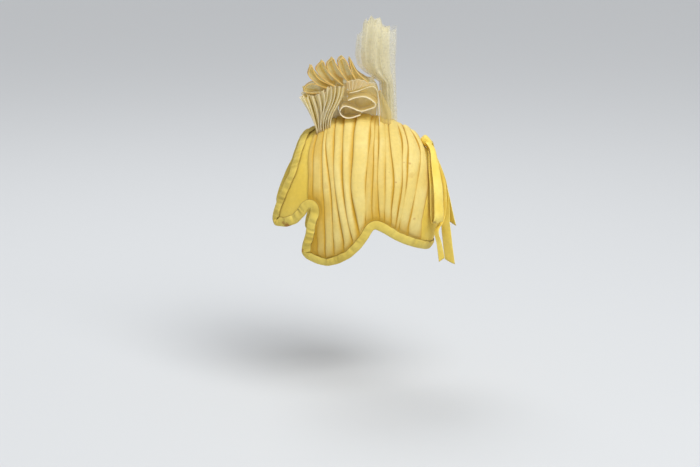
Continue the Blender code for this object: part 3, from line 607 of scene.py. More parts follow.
class Nodes:
    """The node tree of a material, with short ways to add and join nodes."""

    def __init__(self, name):
        self.material = bpy.data.materials.new(name)
        self.material.use_nodes = True
        self.tree = self.material.node_tree
        self.tree.nodes.clear()

    def add(self, kind, inputs=None, **settings):
        """A node of one kind, its settings made and its inputs given a value or a socket to follow."""
        node = self.tree.nodes.new(kind)
        for key, value in settings.items():
            setattr(node, key, value)
        for key, value in (inputs or {}).items():
            if isinstance(value, bpy.types.NodeSocket):
                self.tree.links.new(value, node.inputs[key])
            else:
                node.inputs[key].default_value = value
        return node

    def sum_of(self, operation, first, second):
        """The result of a sum of two numbers or sockets."""
        return self.add("ShaderNodeMath", {0: first, 1: second}, operation=operation).outputs[0]

    def blend(self, share, first, second, kind="MIX"):
        """A colour between two colours."""
        inputs = {0: share, 6: first, 7: second}
        return self.add("ShaderNodeMix", inputs, data_type="RGBA", blend_type=kind).outputs[2]

    def grain(self, vector, scale, detail, output=0):
        """Noise over a vector: its strength, or its colour with output 1."""
        inputs = {"Vector": vector, "Scale": scale, "Detail": detail}
        return self.add("ShaderNodeTexNoise", inputs).outputs[output]

    def vector(self, operation, first, second):
        """The result of a sum of two vectors, or of a vector and a number where it is scaled."""
        inputs = {0: first, ("Scale" if operation == "SCALE" else 1): second}
        node = self.add("ShaderNodeVectorMath", inputs, operation=operation)
        return node.outputs["Value" if operation == "DISTANCE" else "Vector"]

    def threads(self, vector, width, direction):
        """Waves across one direction of the cloth, one for each thread."""
        inputs = {"Vector": vector, "Scale": WAVE_SHARE / width, "Distortion": 0.6, "Detail": 1.0}
        return self.add("ShaderNodeTexWave", inputs, bands_direction=direction).outputs[1]

    def relief(self, height, strength, distance, below=None):
        """The relief of a height, laid over the relief below it."""
        inputs = {"Height": height, "Strength": strength, "Distance": distance}
        if below is not None:
            inputs["Normal"] = below
        return self.add("ShaderNodeBump", inputs).outputs[0]

    def ranged(self, value, low, high, out_low=0.0, out_high=1.0):
        """A value brought from one range to another with soft ends."""
        inputs = {"Value": value, "From Min": low, "From Max": high, "To Min": out_low, "To Max": out_high}
        return self.add("ShaderNodeMapRange", inputs, interpolation_type="SMOOTHSTEP").outputs[0]


# The standard curve of display colours: where it begins, its slope before that, its lift and its power
CURVE_START = 11
CURVE_SLOPE = 12.92
CURVE_LIFT = 0.055
CURVE_POWER = 2.4
# The scale that gives a wave texture one wave to a metre
WAVE_SHARE = 0.314
# How fine the grain is where the cloth is worn, mottled, creased and stained, as swells to a metre, and how
# deep the creases are
WORN_GRAIN = 38.0
MOTTLE_GRAIN = 260.0
CREASE_GRAIN = 150.0
STAIN_GRAIN = 420.0
CREASE_RELIEF = 0.0006
# How much flatter a stain is drawn across the hat than along it
STAIN_FLAT = 0.2


def rgba(colour):
    """A display colour from 0 to 255 as the linear colour that the shaders take."""
    linear = []
    for part in colour:
        share = part / 255.0
        bright = ((share + CURVE_LIFT) / (1.0 + CURVE_LIFT)) ** CURVE_POWER
        linear.append(share / CURVE_SLOPE if part < CURVE_START else bright)
    return (*linear, 1.0)


def add_stain(nodes, shade, place, spot):
    """A stain with a ragged border over the colour so far."""
    point, size, strength, stain = spot
    bent = nodes.vector("SCALE", nodes.grain(place, STAIN_GRAIN, 2.0, 1), size * 1.2)
    bent = nodes.vector("ADD", place, bent)
    bent = nodes.vector("MULTIPLY", bent, (STAIN_FLAT, 1.0, 1.0))
    shift = size * 0.6
    centre = (STAIN_FLAT * (point[0] + shift), point[1] + shift, point[2] + shift)
    away = nodes.vector("DISTANCE", bent, centre)
    return nodes.blend(nodes.ranged(away, size * 0.35, size, strength, 0.0), shade, rgba(stain))


def make_cloth(name):
    """A woven cloth by its row in the table of cloths."""
    colour, painted_shade_colour, pale, roughness, sheen, thread, stand, glow, clear, streaks, spots, tint = CLOTHS[name]
    nodes = Nodes(name)
    place = nodes.add("ShaderNodeTexCoord").outputs
    # The fold value carries painted shade, and where it is low the cloth is also less see-through
    shade_and_density = nodes.add("ShaderNodeAttribute", attribute_name="shade_and_density").outputs["Fac"]
    worn = nodes.grain(place["Object"], WORN_GRAIN, 3.0)
    mottle = nodes.grain(place["Object"], MOTTLE_GRAIN, 4.0)
    shade = nodes.blend(nodes.ranged(worn, 0.35, 0.68), rgba(colour), rgba(pale))
    # Painted shade: the deep colour blended in where the fold value is low
    shade = nodes.blend(nodes.ranged(shade_and_density, 0.0, 1.0), rgba(painted_shade_colour), shade)
    grey = nodes.ranged(mottle, 0.30, 0.70, 0.965, 1.03)
    grey = nodes.add("ShaderNodeCombineColor", {"Red": grey, "Green": grey, "Blue": grey}).outputs[0]
    shade = nodes.blend(1.0, shade, grey, "MULTIPLY")
    for spot in spots:
        shade = add_stain(nodes, shade, place["Object"], spot)
    weave = nodes.sum_of("MAXIMUM", *(nodes.threads(place["UV"], thread, side) for side in "XY"))
    bump = nodes.relief(weave, stand, thread * 0.4)
    bump = nodes.relief(nodes.grain(place["Object"], CREASE_GRAIN, 5.0), 0.3, CREASE_RELIEF, bump)
    if streaks:
        scale, height = streaks
        drawn = nodes.vector("MULTIPLY", place["UV"], scale)
        bump = nodes.relief(nodes.grain(drawn, 1.0, 3.0), 0.6, height, bump)
    gloss = nodes.ranged(mottle, 0.25, 0.75, roughness - 0.06, roughness + 0.06)
    cloth = nodes.add("ShaderNodeBsdfPrincipled", {
        "Base Color": shade, "Roughness": gloss, "Sheen Weight": sheen, "Sheen Roughness": 0.4,
        "Normal": bump, "Specular IOR Level": 0.35,
    }).outputs[0]
    if glow:
        through = nodes.add("ShaderNodeBsdfTranslucent", {"Color": shade, "Normal": bump}).outputs[0]
        cloth = nodes.add("ShaderNodeMixShader", {0: glow, 1: cloth, 2: through}).outputs[0]
    if clear:
        holes = nodes.sum_of("MULTIPLY", nodes.ranged(mottle, 0.3, 0.7, 0.94, 1.04), clear)
        holes = nodes.sum_of("MULTIPLY", holes, nodes.ranged(shade_and_density, 0.0, 1.0, 0.25, 1.0))
        open_air = nodes.add("ShaderNodeBsdfTransparent", {"Color": rgba(tint)}).outputs[0]
        cloth = nodes.add("ShaderNodeMixShader", {0: holes, 1: cloth, 2: open_air}).outputs[0]
    nodes.add("ShaderNodeOutputMaterial", {"Surface": cloth})
    return nodes.material


# Meshes


def grid_faces(rows, columns, start=0, around=False):
    """The four-sided faces of a grid of vertices, closed in the second direction if it goes around."""
    cells = columns if around else columns - 1
    row, column = np.meshgrid(np.arange(rows - 1), np.arange(cells), indexing="ij")
    following = (column + 1) % columns
    near = row * columns
    far = near + columns
    quads = np.stack((near + column, near + following, far + following, far + column), axis=-1)
    return quads.reshape(-1, 4) + start


def rim_faces(rows, columns):
    """The faces that join the borders of two grids, the second one stored after the first."""
    border = list(range(columns))
    border += [row * columns + columns - 1 for row in range(1, rows)]
    border += [(rows - 1) * columns + column for column in range(columns - 2, -1, -1)]
    border += [row * columns for row in range(rows - 2, 0, -1)]
    border = np.array(border)
    following = np.roll(border, -1)
    return np.stack((following, border, border + rows * columns, following + rows * columns), axis=-1)


def rim_between(first, second, columns):
    """The faces that join two rings of vertices."""
    column = np.arange(columns)
    following = (column + 1) % columns
    return np.stack((first + following, first + column, second + column, second + following), axis=-1)


def flat_places(grid):
    """Where each point of a grid lies on the flat cloth, in metres, for the weave."""
    down = np.linalg.norm(np.diff(grid, axis=0), axis=-1).mean(axis=1)
    across = np.linalg.norm(np.diff(grid, axis=1), axis=-1)
    across = np.concatenate((np.zeros((len(grid), 1)), np.cumsum(across, axis=1)), axis=1)
    down = np.concatenate(((0.0,), np.cumsum(down)))
    return np.stack((across, np.broadcast_to(down[:, None], across.shape)), axis=-1)


def grid_normals(grid):
    """The direction square to a grid of points at each of them."""
    normals = np.cross(np.gradient(grid, axis=0), np.gradient(grid, axis=1))
    return normals / np.maximum(np.linalg.norm(normals, axis=-1, keepdims=True), 1e-12)


def make_piece(name, vertices, faces, material, places, shade_and_density=None):
    """One piece of the hat as a smooth mesh that rides with it; its fold value is painted shade and density:
    at 0 the deep colour is painted in fully and the cloth is least open, at 1 neither.
    """
    mesh = bpy.data.meshes.new(name)
    mesh.from_pydata(vertices.reshape(-1, 3).tolist(), [], faces.tolist())
    mesh.materials.append(material)
    corners = np.zeros(len(mesh.loops), dtype=np.int32)
    mesh.loops.foreach_get("vertex_index", corners)
    layer = mesh.uv_layers.new(name="cloth")
    layer.data.foreach_set("uv", places.reshape(-1, 2)[corners].astype(np.float32).ravel())
    attribute = mesh.attributes.new("shade_and_density", "FLOAT", "POINT")
    shade_and_density = np.ones(len(mesh.vertices)) if shade_and_density is None else np.ravel(shade_and_density)
    attribute.data.foreach_set("value", shade_and_density.astype(np.float32))
    mesh.shade_smooth()
    mesh.update()
    piece = place_thing(name, mesh)
    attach(piece, "root")
    return piece


def make_film(name, grid, material, around=False):
    """A sheet of thin cloth with no wall of its own, along a grid of points."""
    faces = grid_faces(*grid.shape[:2], around=around)
    return make_piece(name, grid, faces, material, flat_places(grid))


def make_joined(name, grids, places, material, shade_and_density=None, around=False):
    """Several grids of points, each with its places on the flat cloth, as one piece."""
    faces = []
    start = 0
    for grid in grids:
        faces.append(grid_faces(*grid.shape[:2], start, around))
        start += grid.shape[0] * grid.shape[1]
    vertices = np.concatenate([grid.reshape(-1, 3) for grid in grids])
    places = np.concatenate([spot.reshape(-1, 2) for spot in places])
    return make_piece(name, vertices, np.concatenate(faces), material, places, shade_and_density)


def make_wall(name, grid, wall, material):
    """A sheet of cloth with a wall, closed all round, along a grid of points."""
    half = grid_normals(grid) * (wall / 2)
    rows, columns = grid.shape[:2]
    behind = grid_faces(rows, columns, rows * columns)[:, ::-1]
    faces = np.concatenate((grid_faces(rows, columns), behind, rim_faces(rows, columns)))
    places = np.stack((flat_places(grid),) * 2)
    skins = np.stack((grid + half, grid - half))
    return make_piece(name, skins, faces, material, places)


def make_edge_line(name, paths, radius, material):
    """Thin rolled edges along paths, as one mesh of little tubes."""
    tubes = []
    places = []
    turns = full_turn(ROLL_SIDES)
    for path in paths:
        ahead = unit(np.gradient(path, axis=0))
        first = unit(np.cross(ahead, np.array(NO_EDGE_WAY)))
        second = np.cross(ahead, first)
        count = np.arange(len(path))
        thick = radius * (1.0 + 0.25 * waver(count, 5.0, len(path)))
        thick = thick * np.where(np.minimum(count, count[::-1]) == 0, 0.3, 1.0)
        ring = first[:, None] * np.cos(turns)[:, None] + second[:, None] * np.sin(turns)[:, None]
        tubes.append(path[:, None] + ring * thick[:, None, None])
        places.append(np.stack(np.broadcast_arrays(distances(path)[:, None], turns * radius), axis=-1))
    make_joined(name, tubes, places, material, around=True)


# What rests on what


class Surface:
    """Pieces as one surface, to stand others on or to keep them clear of it."""

    def __init__(self, pieces):
        vertices = []
        faces = []
        for piece in pieces:
            start = len(vertices)
            vertices += [tuple(vertex.co) for vertex in piece.data.vertices]
            faces += [[start + corner for corner in face.vertices] for face in piece.data.polygons]
        self.tree = BVHTree.FromPolygons(vertices, faces)

    def heights(self, x, y, gap):
        """The heights so far above the surface over spots near its top."""
        x, y = np.broadcast_arrays(x, y)
        down = Vector((0.0, 0.0, -1.0))
        hits = [self.tree.ray_cast(Vector((*spot, HIGH_UP)), down)[0] for spot in zip(x.ravel(), y.ravel())]
        return np.array([hit.z for hit in hits]).reshape(x.shape) + gap

    def clear(self, grid, gap):
        """Which points of a grid are further than the gap from the surface."""
        nearest = [self.tree.find_nearest(Vector(point), gap)[0] for point in grid.reshape(-1, 3)]
        return np.array([hit is None for hit in nearest])


# Cap, cover and binding


def edge_line(step):
    """Azimuth and angle all round the cut edge, evenly spaced by about a step, corners a little rounded."""
    knots = np.array(EDGE)
    knots = np.concatenate((knots, np.column_stack((360.0 - knots[-2:0:-1, 0], knots[-2:0:-1, 1]))))
    closed = np.concatenate((knots, knots[:1] + (360.0, 0.0)))
    points = form_points(outline_directions(closed[:, 0], closed[:, 1]), np.zeros(len(closed)))
    along = distances(points)
    count = int(round(along[-1] / step))
    at = np.linspace(0.0, along[-1], count, endpoint=False)
    rough = read_table(closed, along, at)
    reach = max(1, int(round(EDGE_ROUNDING / step)))
    kernel = np.hanning(2 * reach + 3)[1:-1]
    kernel /= kernel.sum()
    padded = np.concatenate((rough[-reach:] - (360.0, 0.0), rough, rough[:reach] + (360.0, 0.0)))
    return np.column_stack([np.convolve(padded[:, k], kernel, mode="valid") for k in range(2)])


def make_cap(material):
    """The plain cap on the form inside the cut edge."""
    line = edge_line(CAP_STEP)
    rings = np.linspace(0.02, 1.0, CAP_RINGS)
    azimuth = np.broadcast_to(line[:, 0], (len(rings), len(line)))
    angle = rings[:, None] * line[:, 1]
    directions = outline_directions(azimuth, angle)
    side, along, across = np.moveaxis(directions, -1, 0)
    swell = CAP_SWELL * ripple(side * 5.0, across * 5.0 + along * 3.0, 3)
    near_edge = smooth_step(0.80, 0.97, rings)[:, None]
    gather = CAP_GATHER * waver(np.arange(len(line)) * CAP_STEP, 0.005, 11) * near_edge
    outer = form_points(directions, BASE_WALL + swell + gather)
    inner = form_points(directions, np.zeros(directions.shape[:2]))
    rows, columns = outer.shape[:2]
    inside = rows * columns
    last_ring = inside - columns
    faces = np.concatenate((
        grid_faces(rows, columns, around=True), grid_faces(rows, columns, inside, around=True)[:, ::-1],
        rim_between(0, inside, columns), rim_between(last_ring, inside + last_ring, columns),
    ))
    places = np.stack((flat_places(outer),) * 2)
    # Painted shade: the inner skin gets some of the deep colour
    shade_and_density = np.stack((np.ones((rows, columns)), 0.8 * np.ones((rows, columns))))
    piece = make_piece("cap", np.stack((outer, inner)), faces, material, places, shade_and_density)
    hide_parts("crown_base")
    return piece


def dense_edge():
    """Points close together along the left half of the cut edge, to measure distances from."""
    line = edge_line(DENSE_STEP)
    line = line[line[:, 0] <= 180.0]
    return form_points(outline_directions(line[:, 0], line[:, 1]), np.full(len(line), BASE_WALL))


DENSE_EDGE = dense_edge()


def inside_edge(y, angle):
    """How far a spot on the left side is inside the cut edge; below nothing where it is outside."""
    directions = side_directions(np.asarray(y, float), np.asarray(angle, float))
    turn = math.radians(FORM_LEAN - OUTLINE_LEAN)
    up = directions[..., 1] * math.cos(turn) + directions[..., 2] * math.sin(turn)
    front = directions[..., 2] * math.cos(turn) - directions[..., 1] * math.sin(turn)
    azimuth = np.degrees(np.arctan2(np.abs(directions[..., 0]), front))
    knots = np.array(EDGE)
    within = np.degrees(np.arccos(np.clip(up, -1, 1))) < np.interp(azimuth, knots[:, 0], knots[:, 1])
    points = form_points(directions, np.full(directions.shape[:-1], BASE_WALL))
    gaps = np.linalg.norm(points[..., None, :] - DENSE_EDGE, axis=-1).min(axis=-1)
    return np.where(within, gaps, -gaps)


def cover_columns():
    """The fine columns of the cover: course at the four angles, height, overhang, pleat and place in it."""
    table = np.array(PLEATS)
    columns = []
    for index, (start, end) in enumerate(zip(table, table[1:])):
        for share, rise in PLEAT_PROFILE:
            overhang = start[5] * max(0.0, 1.0 - share / 0.30) * (1.0 if share > 0 else 0.0)
            row = start[:4] + (end[:4] - start[:4]) * share
            rise = rise ** start[6] if share > 0.27 else rise
            columns.append((*row, rise * start[4], overhang, index, share))
    columns.append((*table[-1][:4], 0.0, 0.0, len(table) - 1, 0.0))
    columns = np.array(columns)
    columns[:, :4] *= REACH
    return columns


COVER_COLUMNS = cover_columns()


def column_end(course):
    """The angle down the side past which a column of the cover is under the binding for good."""
    degrees = np.arange(40.0, 125.0, 0.25)
    room = inside_edge(spline(PLEAT_ANGLES, course, degrees), degrees)
    return degrees[np.flatnonzero(room > COVER_TUCK)[-1]] + 0.25


def make_cover(material):
    """The pleated cloth laid from ear to ear over the cap, its edges under the binding; shade is painted into
    its valleys.
    """
    shares = np.linspace(-1.0, 1.0, 2 * COVER_ROWS + 1)
    grid = []
    shade_and_density = []
    room = []
    for column in COVER_COLUMNS:
        course, height, overhang, pleat, place = column[:4], column[4], column[5], int(column[6]), column[7]
        degrees = shares * column_end(course)
        y = spline(PLEAT_ANGLES, course, np.abs(degrees))
        away = inside_edge(y, np.abs(degrees))
        free = smooth_step(PLEATS_BEGIN, PLEATS_FREE, away)
        rise = height * (0.88 + 0.18 * waver(shares * 4.0, 1.0, 200 + pleat)) * (0.42 + 0.58 * free)
        loose = 1.0 if 0.1 < place < 0.9 else 0.3
        slack = waver(shares * 9.0, 1.0, 300 + 20 * pleat + int(place * 3)) * loose
        rise = np.maximum(rise + 0.07 * slack * free, 0.0)
        y = y + PLEAT_SWAY * waver(shares * 6.0 + pleat * 13.0, 1.0, 100 + pleat) * free
        y = y - PLEAT_OVERHANG * overhang * free * (0.7 + 0.5 * waver(shares * 5.0, 1.0, 400 + pleat))
        dip = 1.0 - smooth_step(COVER_DIP, COVER_DIP + DIP_LENGTH, away)
        offset = BASE_WALL + COVER_GAP + rise * PLEAT_HEIGHT
        offset = offset + (BASE_WALL + DIP_GAP - offset) * dip
        grid.append(form_points(side_directions(y, degrees), offset))
        # Painted shade: the deep colour where the pleats are low, in the valleys, and where the cover dips
        # under the binding
        shade_and_density.append(np.clip(rise * 1.5, 0.0, 1.0) * (1.0 - 0.3 * dip))
        room.append(away)
    grid = np.array(grid)
    faces = grid_faces(*grid.shape[:2])
    faces = faces[(np.ravel(room)[faces] > COVER_TUCK).all(axis=1)]
    piece = make_piece("cover", grid, faces, material, flat_places(grid), np.array(shade_and_density))
    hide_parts("pleated_cover")
    return piece


def make_binding(material):
    """The strip folded round the cut edge: puckered, with a stitched groove at its inner side; shade is
    painted into the groove, the puckers, the turn of the edge and the inside.
    """
    line = edge_line(BINDING_STEP)
    count = len(line)
    directions = outline_directions(line[:, 0], line[:, 1])
    edge = form_points(directions, np.zeros(count))
    normals = form_points(directions, np.ones(count)) - edge
    ahead = np.roll(edge, -1, axis=0) - np.roll(edge, 1, axis=0)
    inward = unit(np.cross(ahead, normals))
    inward *= np.sign(np.sum(inward * (CENTRE + LONG_AXIS * FORM_LONG - edge)))
    apart = edge[None, :, :] - edge[:, None, :]
    toward = np.sum(apart * inward[:, None, :], axis=2)
    reach = np.sum(apart ** 2, axis=2) / np.maximum(2 * toward, TINY)
    reach[toward <= 1e-5] = BINDING_WIDTH
    legs = np.minimum(BINDING_WIDTH, MITRE_SHARE * reach.min(axis=1))
    along = np.arange(count) * BINDING_STEP
    legs = legs * (1.0 + 0.05 * waver(along, PUCKER_LENGTH, 21))
    front = smooth_step(-0.045, 0.010, edge[:, 1])
    # Painted shade that comes and goes along the puckers
    pucker_shade = 0.5 + 0.5 * waver(along, PUCKER_LENGTH, 22)
    strength = CREASE_DEPTH - CREASE_EASE * front + CREASE_CHANGE * waver(along, 0.03, 24)
    outside = BASE_WALL + BINDING_CLEARANCE
    rows = []
    shade_and_density = []
    for share, lift, bright in BINDING_SECTION:
        lift = lift * BINDING_WALL
        lean = along + share * PUCKER_LENGTH * waver(along, 0.02, 26)
        crease = 0.65 * waver(lean, FINE_CREASE, 23) + 0.55 * waver(lean, COARSE_CREASE, 27)
        crease = crease * strength * (0.35 + 0.65 * share)
        points = edge + inward * (legs * share)[:, None]
        offset = outside + lift + np.maximum(crease * (1.0 if bright == 1.0 else 0.4), -0.5 * lift)
        rows.append(form_points(form_directions(points), offset))
        # Painted shadow: the deep colour in the groove rows, where bright is below 1
        shade_and_density.append(np.clip(bright * (0.72 + 0.28 * pucker_shade), 0.0, 1.0))
    clear = BINDING_CLEARANCE + BINDING_WALL
    middle = BASE_WALL / 2
    radius = middle + clear
    for turn in BINDING_TURNS:
        angle = math.radians(turn)
        points = edge - inward * math.sin(angle) * clear
        rows.append(form_points(form_directions(points), np.full(count, middle + radius * math.cos(angle))))
        # Painted shade, light, round the turn of the edge
        shade_and_density.append(np.full(count, 0.9))
    for share in BINDING_INSIDE:
        points = edge + inward * (legs * share)[:, None]
        lift = -clear if share < 1.0 else -BINDING_LIP
        lift = lift + BINDING_RIPPLE * waver(along + share * 0.003, 0.004, 25)
        rows.append(form_points(form_directions(points), lift))
        # Painted shade on the inside of the binding
        shade_and_density.append(np.full(count, 0.8))
    grid = np.array(rows)
    across = np.linspace(0.0, BINDING_STRIP, len(grid))[:, None]
    places = np.stack(np.broadcast_arrays(along[None, :], across), axis=-1)
    faces = grid_faces(*grid.shape[:2], around=True)
    piece = make_piece("binding", grid, faces, material, places, np.array(shade_and_density))
    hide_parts("edge_binding")
    return piece


# Ruffle and plume


def carried(side_view, steps, seed, skew, swing):
    """A folded sheet: a side view carried across the crown, leaning and loosely twisted on its way."""
    path = smooth_path(side_view, steps) * REACH
    middle = path.mean(axis=0)
    places = np.linspace(0.0, len(side_view) - 1, len(path))
    grid = []
    for share in np.linspace(1.0, -1.0, CARRIED_COLUMNS):
        x = share * RUFFLE_HALF_WIDTH * (1.0 + 0.02 * waver(places, 1.5, seed))
        depth = 1.0 - share
        row = middle + (path - middle) * (1.0 + 0.10 * (1.0 - share ** 2))
        row[:, 0] += skew * depth * (1.0 if share > 0 else 2.0 - depth)
        row[:, 0] += swing * depth * waver(places, 3.0, seed + 1)
        row[:, 1] += swing * math.sin(math.pi * (share + 1) / 2) * waver(places + share * 2.0, 3.0, seed + 2)
        grid.append(np.column_stack((x, row)))
    return np.array(grid)


def fan_row(side):
    """The fan's cloth at one place across the ruffle, from 1 on the left to -1 on the right."""
    path = smooth_path(FAN, FAN_STEPS) * REACH
    table = np.array(FAN) * REACH
    places = np.arange(len(path)) / FAN_STEPS
    loops = np.minimum(places // FAN_LOOP, len(FAN) // FAN_LOOP - 1).astype(int)
    share = places / FAN_LOOP - loops
    bases = (table[loops * FAN_LOOP] + table[(loops + 1) * FAN_LOOP]) / 2
    tips = table[loops * FAN_LOOP + FAN_TIP]
    toward = unit(tips - bases)
    across = path - bases
    across = across - np.sum(across * toward, axis=1, keepdims=True) * toward
    out = np.sin(math.pi * np.clip(share, 0.0, 1.0))
    width = FAN_BASE_WIDTH + (FAN_TIP_WIDTH - FAN_BASE_WIDTH) * smooth_step(0.0, 1.0, out)
    bulge = 1.0 - side ** 2
    depth = (1.0 - side) * width
    row = bases + (path - bases) * (1.0 + 0.07 * bulge) - across * (0.88 * bulge * out ** 0.7)[:, None]
    row[:, 0] -= out * 0.05 * depth + FAN_SWAY * bulge * waver(places + side, 2.0, 32)
    row[:, 1] -= out * 0.09 * depth + FAN_SWAY * (1.0 - side) * waver(places, 3.0, 33)
    return np.column_stack((side * width, row))


def make_fan(material, edge_material):
    """The loops of sheer cloth at the front of the ruffle, spread at their tips, with rolled edges."""
    grid = np.array([fan_row(side) for side in np.linspace(1.0, -1.0, FAN_COLUMNS)])
    film = make_film("ruffle_fan_cloth", grid, material)
    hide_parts("ruffle_fan")
    make_edge_line("ruffle_fan_edges", (grid[0], grid[-1]), FAN_ROLL, edge_material)
    return film


def make_fan_folds(material):
    """The inner folds of the fan: a sheer leaf in each loop, on both sides of the ruffle."""
    leaves = []
    rows, columns = LEAF_GRID
    out = np.linspace(0.06, 0.90, rows)
    share = np.linspace(0.0, 1.0, columns)
    across = (LEAF_INSET + (1.0 - 2.0 * LEAF_INSET) * share)[:, None]
    hollow = LEAF_HOLLOW * np.sin(math.pi * share) + LEAF_WAVE * np.sin(9.0 * out[:, None] + 7.0 * share)
    for mirror in (1.0, -1.0):
        row = fan_row(mirror * LEAF_SIDE)
        spots = np.arange(len(row)) / FAN_STEPS
        for first in range(0, len(FAN) - 1, FAN_LOOP):
            sides = (first + FAN_TIP * out, first + FAN_LOOP - (FAN_LOOP - FAN_TIP) * out)
            one, other = (read_table(row, spots, at) for at in sides)
            leaf = one[:, None] + (other - one)[:, None] * across
            leaf[..., 0] -= mirror * hollow
            leaves.append(leaf)
    places = [flat_places(leaf) for leaf in leaves]
    piece = make_joined("ruffle_fan_folds", leaves, places, material)
    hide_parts("ruffle_fan")
    return piece


def make_side_folds(material, edge_material):
    """The pale pleats that lie over each other on both sides of the ruffle, above the rolled band."""
    rows, columns = SIDE_FOLD_GRID
    share = np.linspace(0.0, 1.0, columns)
    table = np.array(SIDE_FOLDS)
    top = spline(table[:, 0], table[:, 1:3], share) * REACH
    foot = spline(table[:, 0], table[:, 3:5], share) * REACH
    pleat = share * SIDE_PLEATS % 1.0
    rise = SIDE_FOLD_RISE
    step = np.where(pleat < rise, pleat / rise, (1.0 - pleat) / (1.0 - rise))
    films = []
    lines = []
    for mirror, name in ((1.0, "ruffle_folds_left"), (-1.0, "ruffle_folds_right")):
        grid = []
        for level in np.linspace(0.0, 1.0, rows):
            x = SIDE_FOLD_PLACE + SIDE_FOLD_STEP * step + SIDE_FOLD_SWAY * waver(share * 9.0 + level, 1.0, 95)
            y, z = (foot + (top - foot) * level).T
            z = z + SIDE_FOLD_WAVE * waver(share * 14.0, 1.0, 96) * level
            grid.append(np.column_stack((mirror * x, y, z)))
        grid = np.array(grid)
        films.append(make_film(name, grid, material))
        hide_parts("ruffle_back")
        ridges = np.flatnonzero(np.diff(step) < -0.2)[::2]
        lines += [grid[:, ridge] for ridge in ridges] + [grid[-1]]
    make_edge_line("ruffle_folds_edges", lines, FOLD_ROLL, edge_material)
    return films


def make_core(material, seat, around):
    """The gathered cloth in the middle of the ruffle, in the room that the folds around it leave."""
    rows, columns = CORE_GRID
    y = np.linspace(CORE_FRONT, CORE_BACK, columns)
    tops = np.interp(y, *np.array(CORE_TOP).T * REACH)
    grid = []
    for level in np.linspace(0.0, 1.0, rows):
        x = CORE_WAVE * waver(y / CORE_FOLD + level * 1.5, 1.0, 91) * (0.6 + 0.4 * level)
        floor = seat.heights(x, y, SEAT_GAP)
        bulge = CORE_BULGE * level * (1.0 - level)
        grid.append(np.column_stack((x, y + bulge, floor + (tops - floor) * level)))
    grid = np.array(grid)
    faces = grid_faces(*grid.shape[:2])
    faces = faces[Surface(around).clear(grid, SEAT_GAP)[faces].all(axis=1)]
    piece = make_piece("ruffle_core", grid, faces, material, flat_places(grid))
    piece.data.validate()
    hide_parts("ruffle_scroll")


def make_scroll(material, edge_material, seat):
    """The rolled band low on the side of the ruffle, with its pale woven edge."""
    grid = carried(SCROLL, steps=10, seed=41, skew=0.0006, swing=0.0004)
    grid[..., 2] = np.maximum(grid[..., 2], seat.heights(grid[..., 0], grid[..., 1], 2.0 * SEAT_GAP))
    film = make_film("ruffle_scroll_cloth", grid, material)
    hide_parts("ruffle_scroll")
    make_edge_line("ruffle_scroll_edges", (grid[0], grid[-1]), SCROLL_ROLL, edge_material)
    return film


def make_back_folds(material, edge_material, seat):
    """The folds behind the scroll, down to the crown beside the plume."""
    grid = carried(BACK_FOLDS, steps=12, seed=51, skew=0.0004, swing=0.0006)
    floor = seat.heights(grid[..., 0], grid[..., 1], SEAT_GAP)
    share = np.clip(grid[..., 2] / BACK_HEM, 0.0, 1.0)
    hung = floor + (BACK_HEM - floor) * share
    behind = (np.arange(grid.shape[1]) > grid.shape[1] // 2) & (share < 1.0)
    grid[..., 2] = np.where(behind, hung, grid[..., 2])
    film = make_film("ruffle_back_cloth", grid, material)
    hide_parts("ruffle_back")
    make_edge_line("ruffle_back_edges", (grid[0], grid[-1]), FAN_ROLL, edge_material)
    return film


def folded_line(layers, spots):
    """A line to and fro across so many layers: its place along them and its side, from -1 to 1."""
    line = []
    for index in range(layers):
        side = 1.0 if index % 2 else -1.0
        line += [(index, place * side) for place in (-0.90, *np.linspace(-0.84, 0.84, spots), 0.90)]
        if index < layers - 1:
            line += [(index + 0.25, 0.98 * side), (index + 0.5, side), (index + 0.75, 0.98 * side)]
    return np.array(line)


def make_front_pleats(material, edge_material, seat):
    """The close pleats of net at the front of the ruffle."""
    layers = np.array(PLEAT_LAYERS) * REACH
    count = FRONT_PLEATS
    places = np.linspace(0, len(layers) - 1, count)
    layers = read_table(layers, np.arange(len(layers)), places)
    line = folded_line(count, 11)
    grid = []
    for level in np.linspace(0.0, 1.0, NET_ROWS):
        place = line[:, 0] + 0.24 * line[:, 1] * np.cos(math.pi * line[:, 0])
        side = line[:, 1]
        foot, head, top = read_table(layers, np.arange(count), place).T
        x = side * RUFFLE_HALF_WIDTH * (0.99 - 0.01 * level)
        floor = seat.heights(x, foot, 2.4 * SEAT_GAP)
        bow = PLEAT_BOW * math.sin(math.pi * level) * waver(place * 0.5 + 2.0, 1.0, 61)
        bow = bow - PLEAT_CURVE * math.sin(2.0 * math.pi * level) * smooth_step(6.0, 12.0, place)
        y = foot + (head - foot) * level ** 1.15 + bow
        y = y + NET_SWAY * waver(side * 2.0 + place * 3.1, 1.0, 62) * level
        y = y + NET_SWING * waver(side * 3.2 + place * 0.2, 1.0, 65) * level * (1.0 - side ** 4)
        under = np.interp(head, *np.array(FAN_UNDERSIDE).T * REACH) - UNDER_FAN * (1.0 - x / FAN_BASE_WIDTH)
        under = np.minimum(top, under)
        low, high = (FAN_BASE_WIDTH + room for room in BESIDE_FAN)
        top = under + (top - under) * smooth_step(low, high, np.abs(x))
        z = floor + (top - floor) * level + NET_RISE * waver(place, 1.0, 64) * level
        grid.append(np.column_stack((x, y, z)))
    grid = np.array(grid)
    film = make_film("ruffle_pleats_net", grid, material)
    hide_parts("ruffle_pleats")
    turns = np.flatnonzero(np.isclose(line[:, 0] % 1.0, 0.5))
    paths = [grid[:, turn] for turn in turns] + [grid[-1]]
    make_edge_line("ruffle_pleats_edges", paths, NET_ROLL, edge_material)
    return film


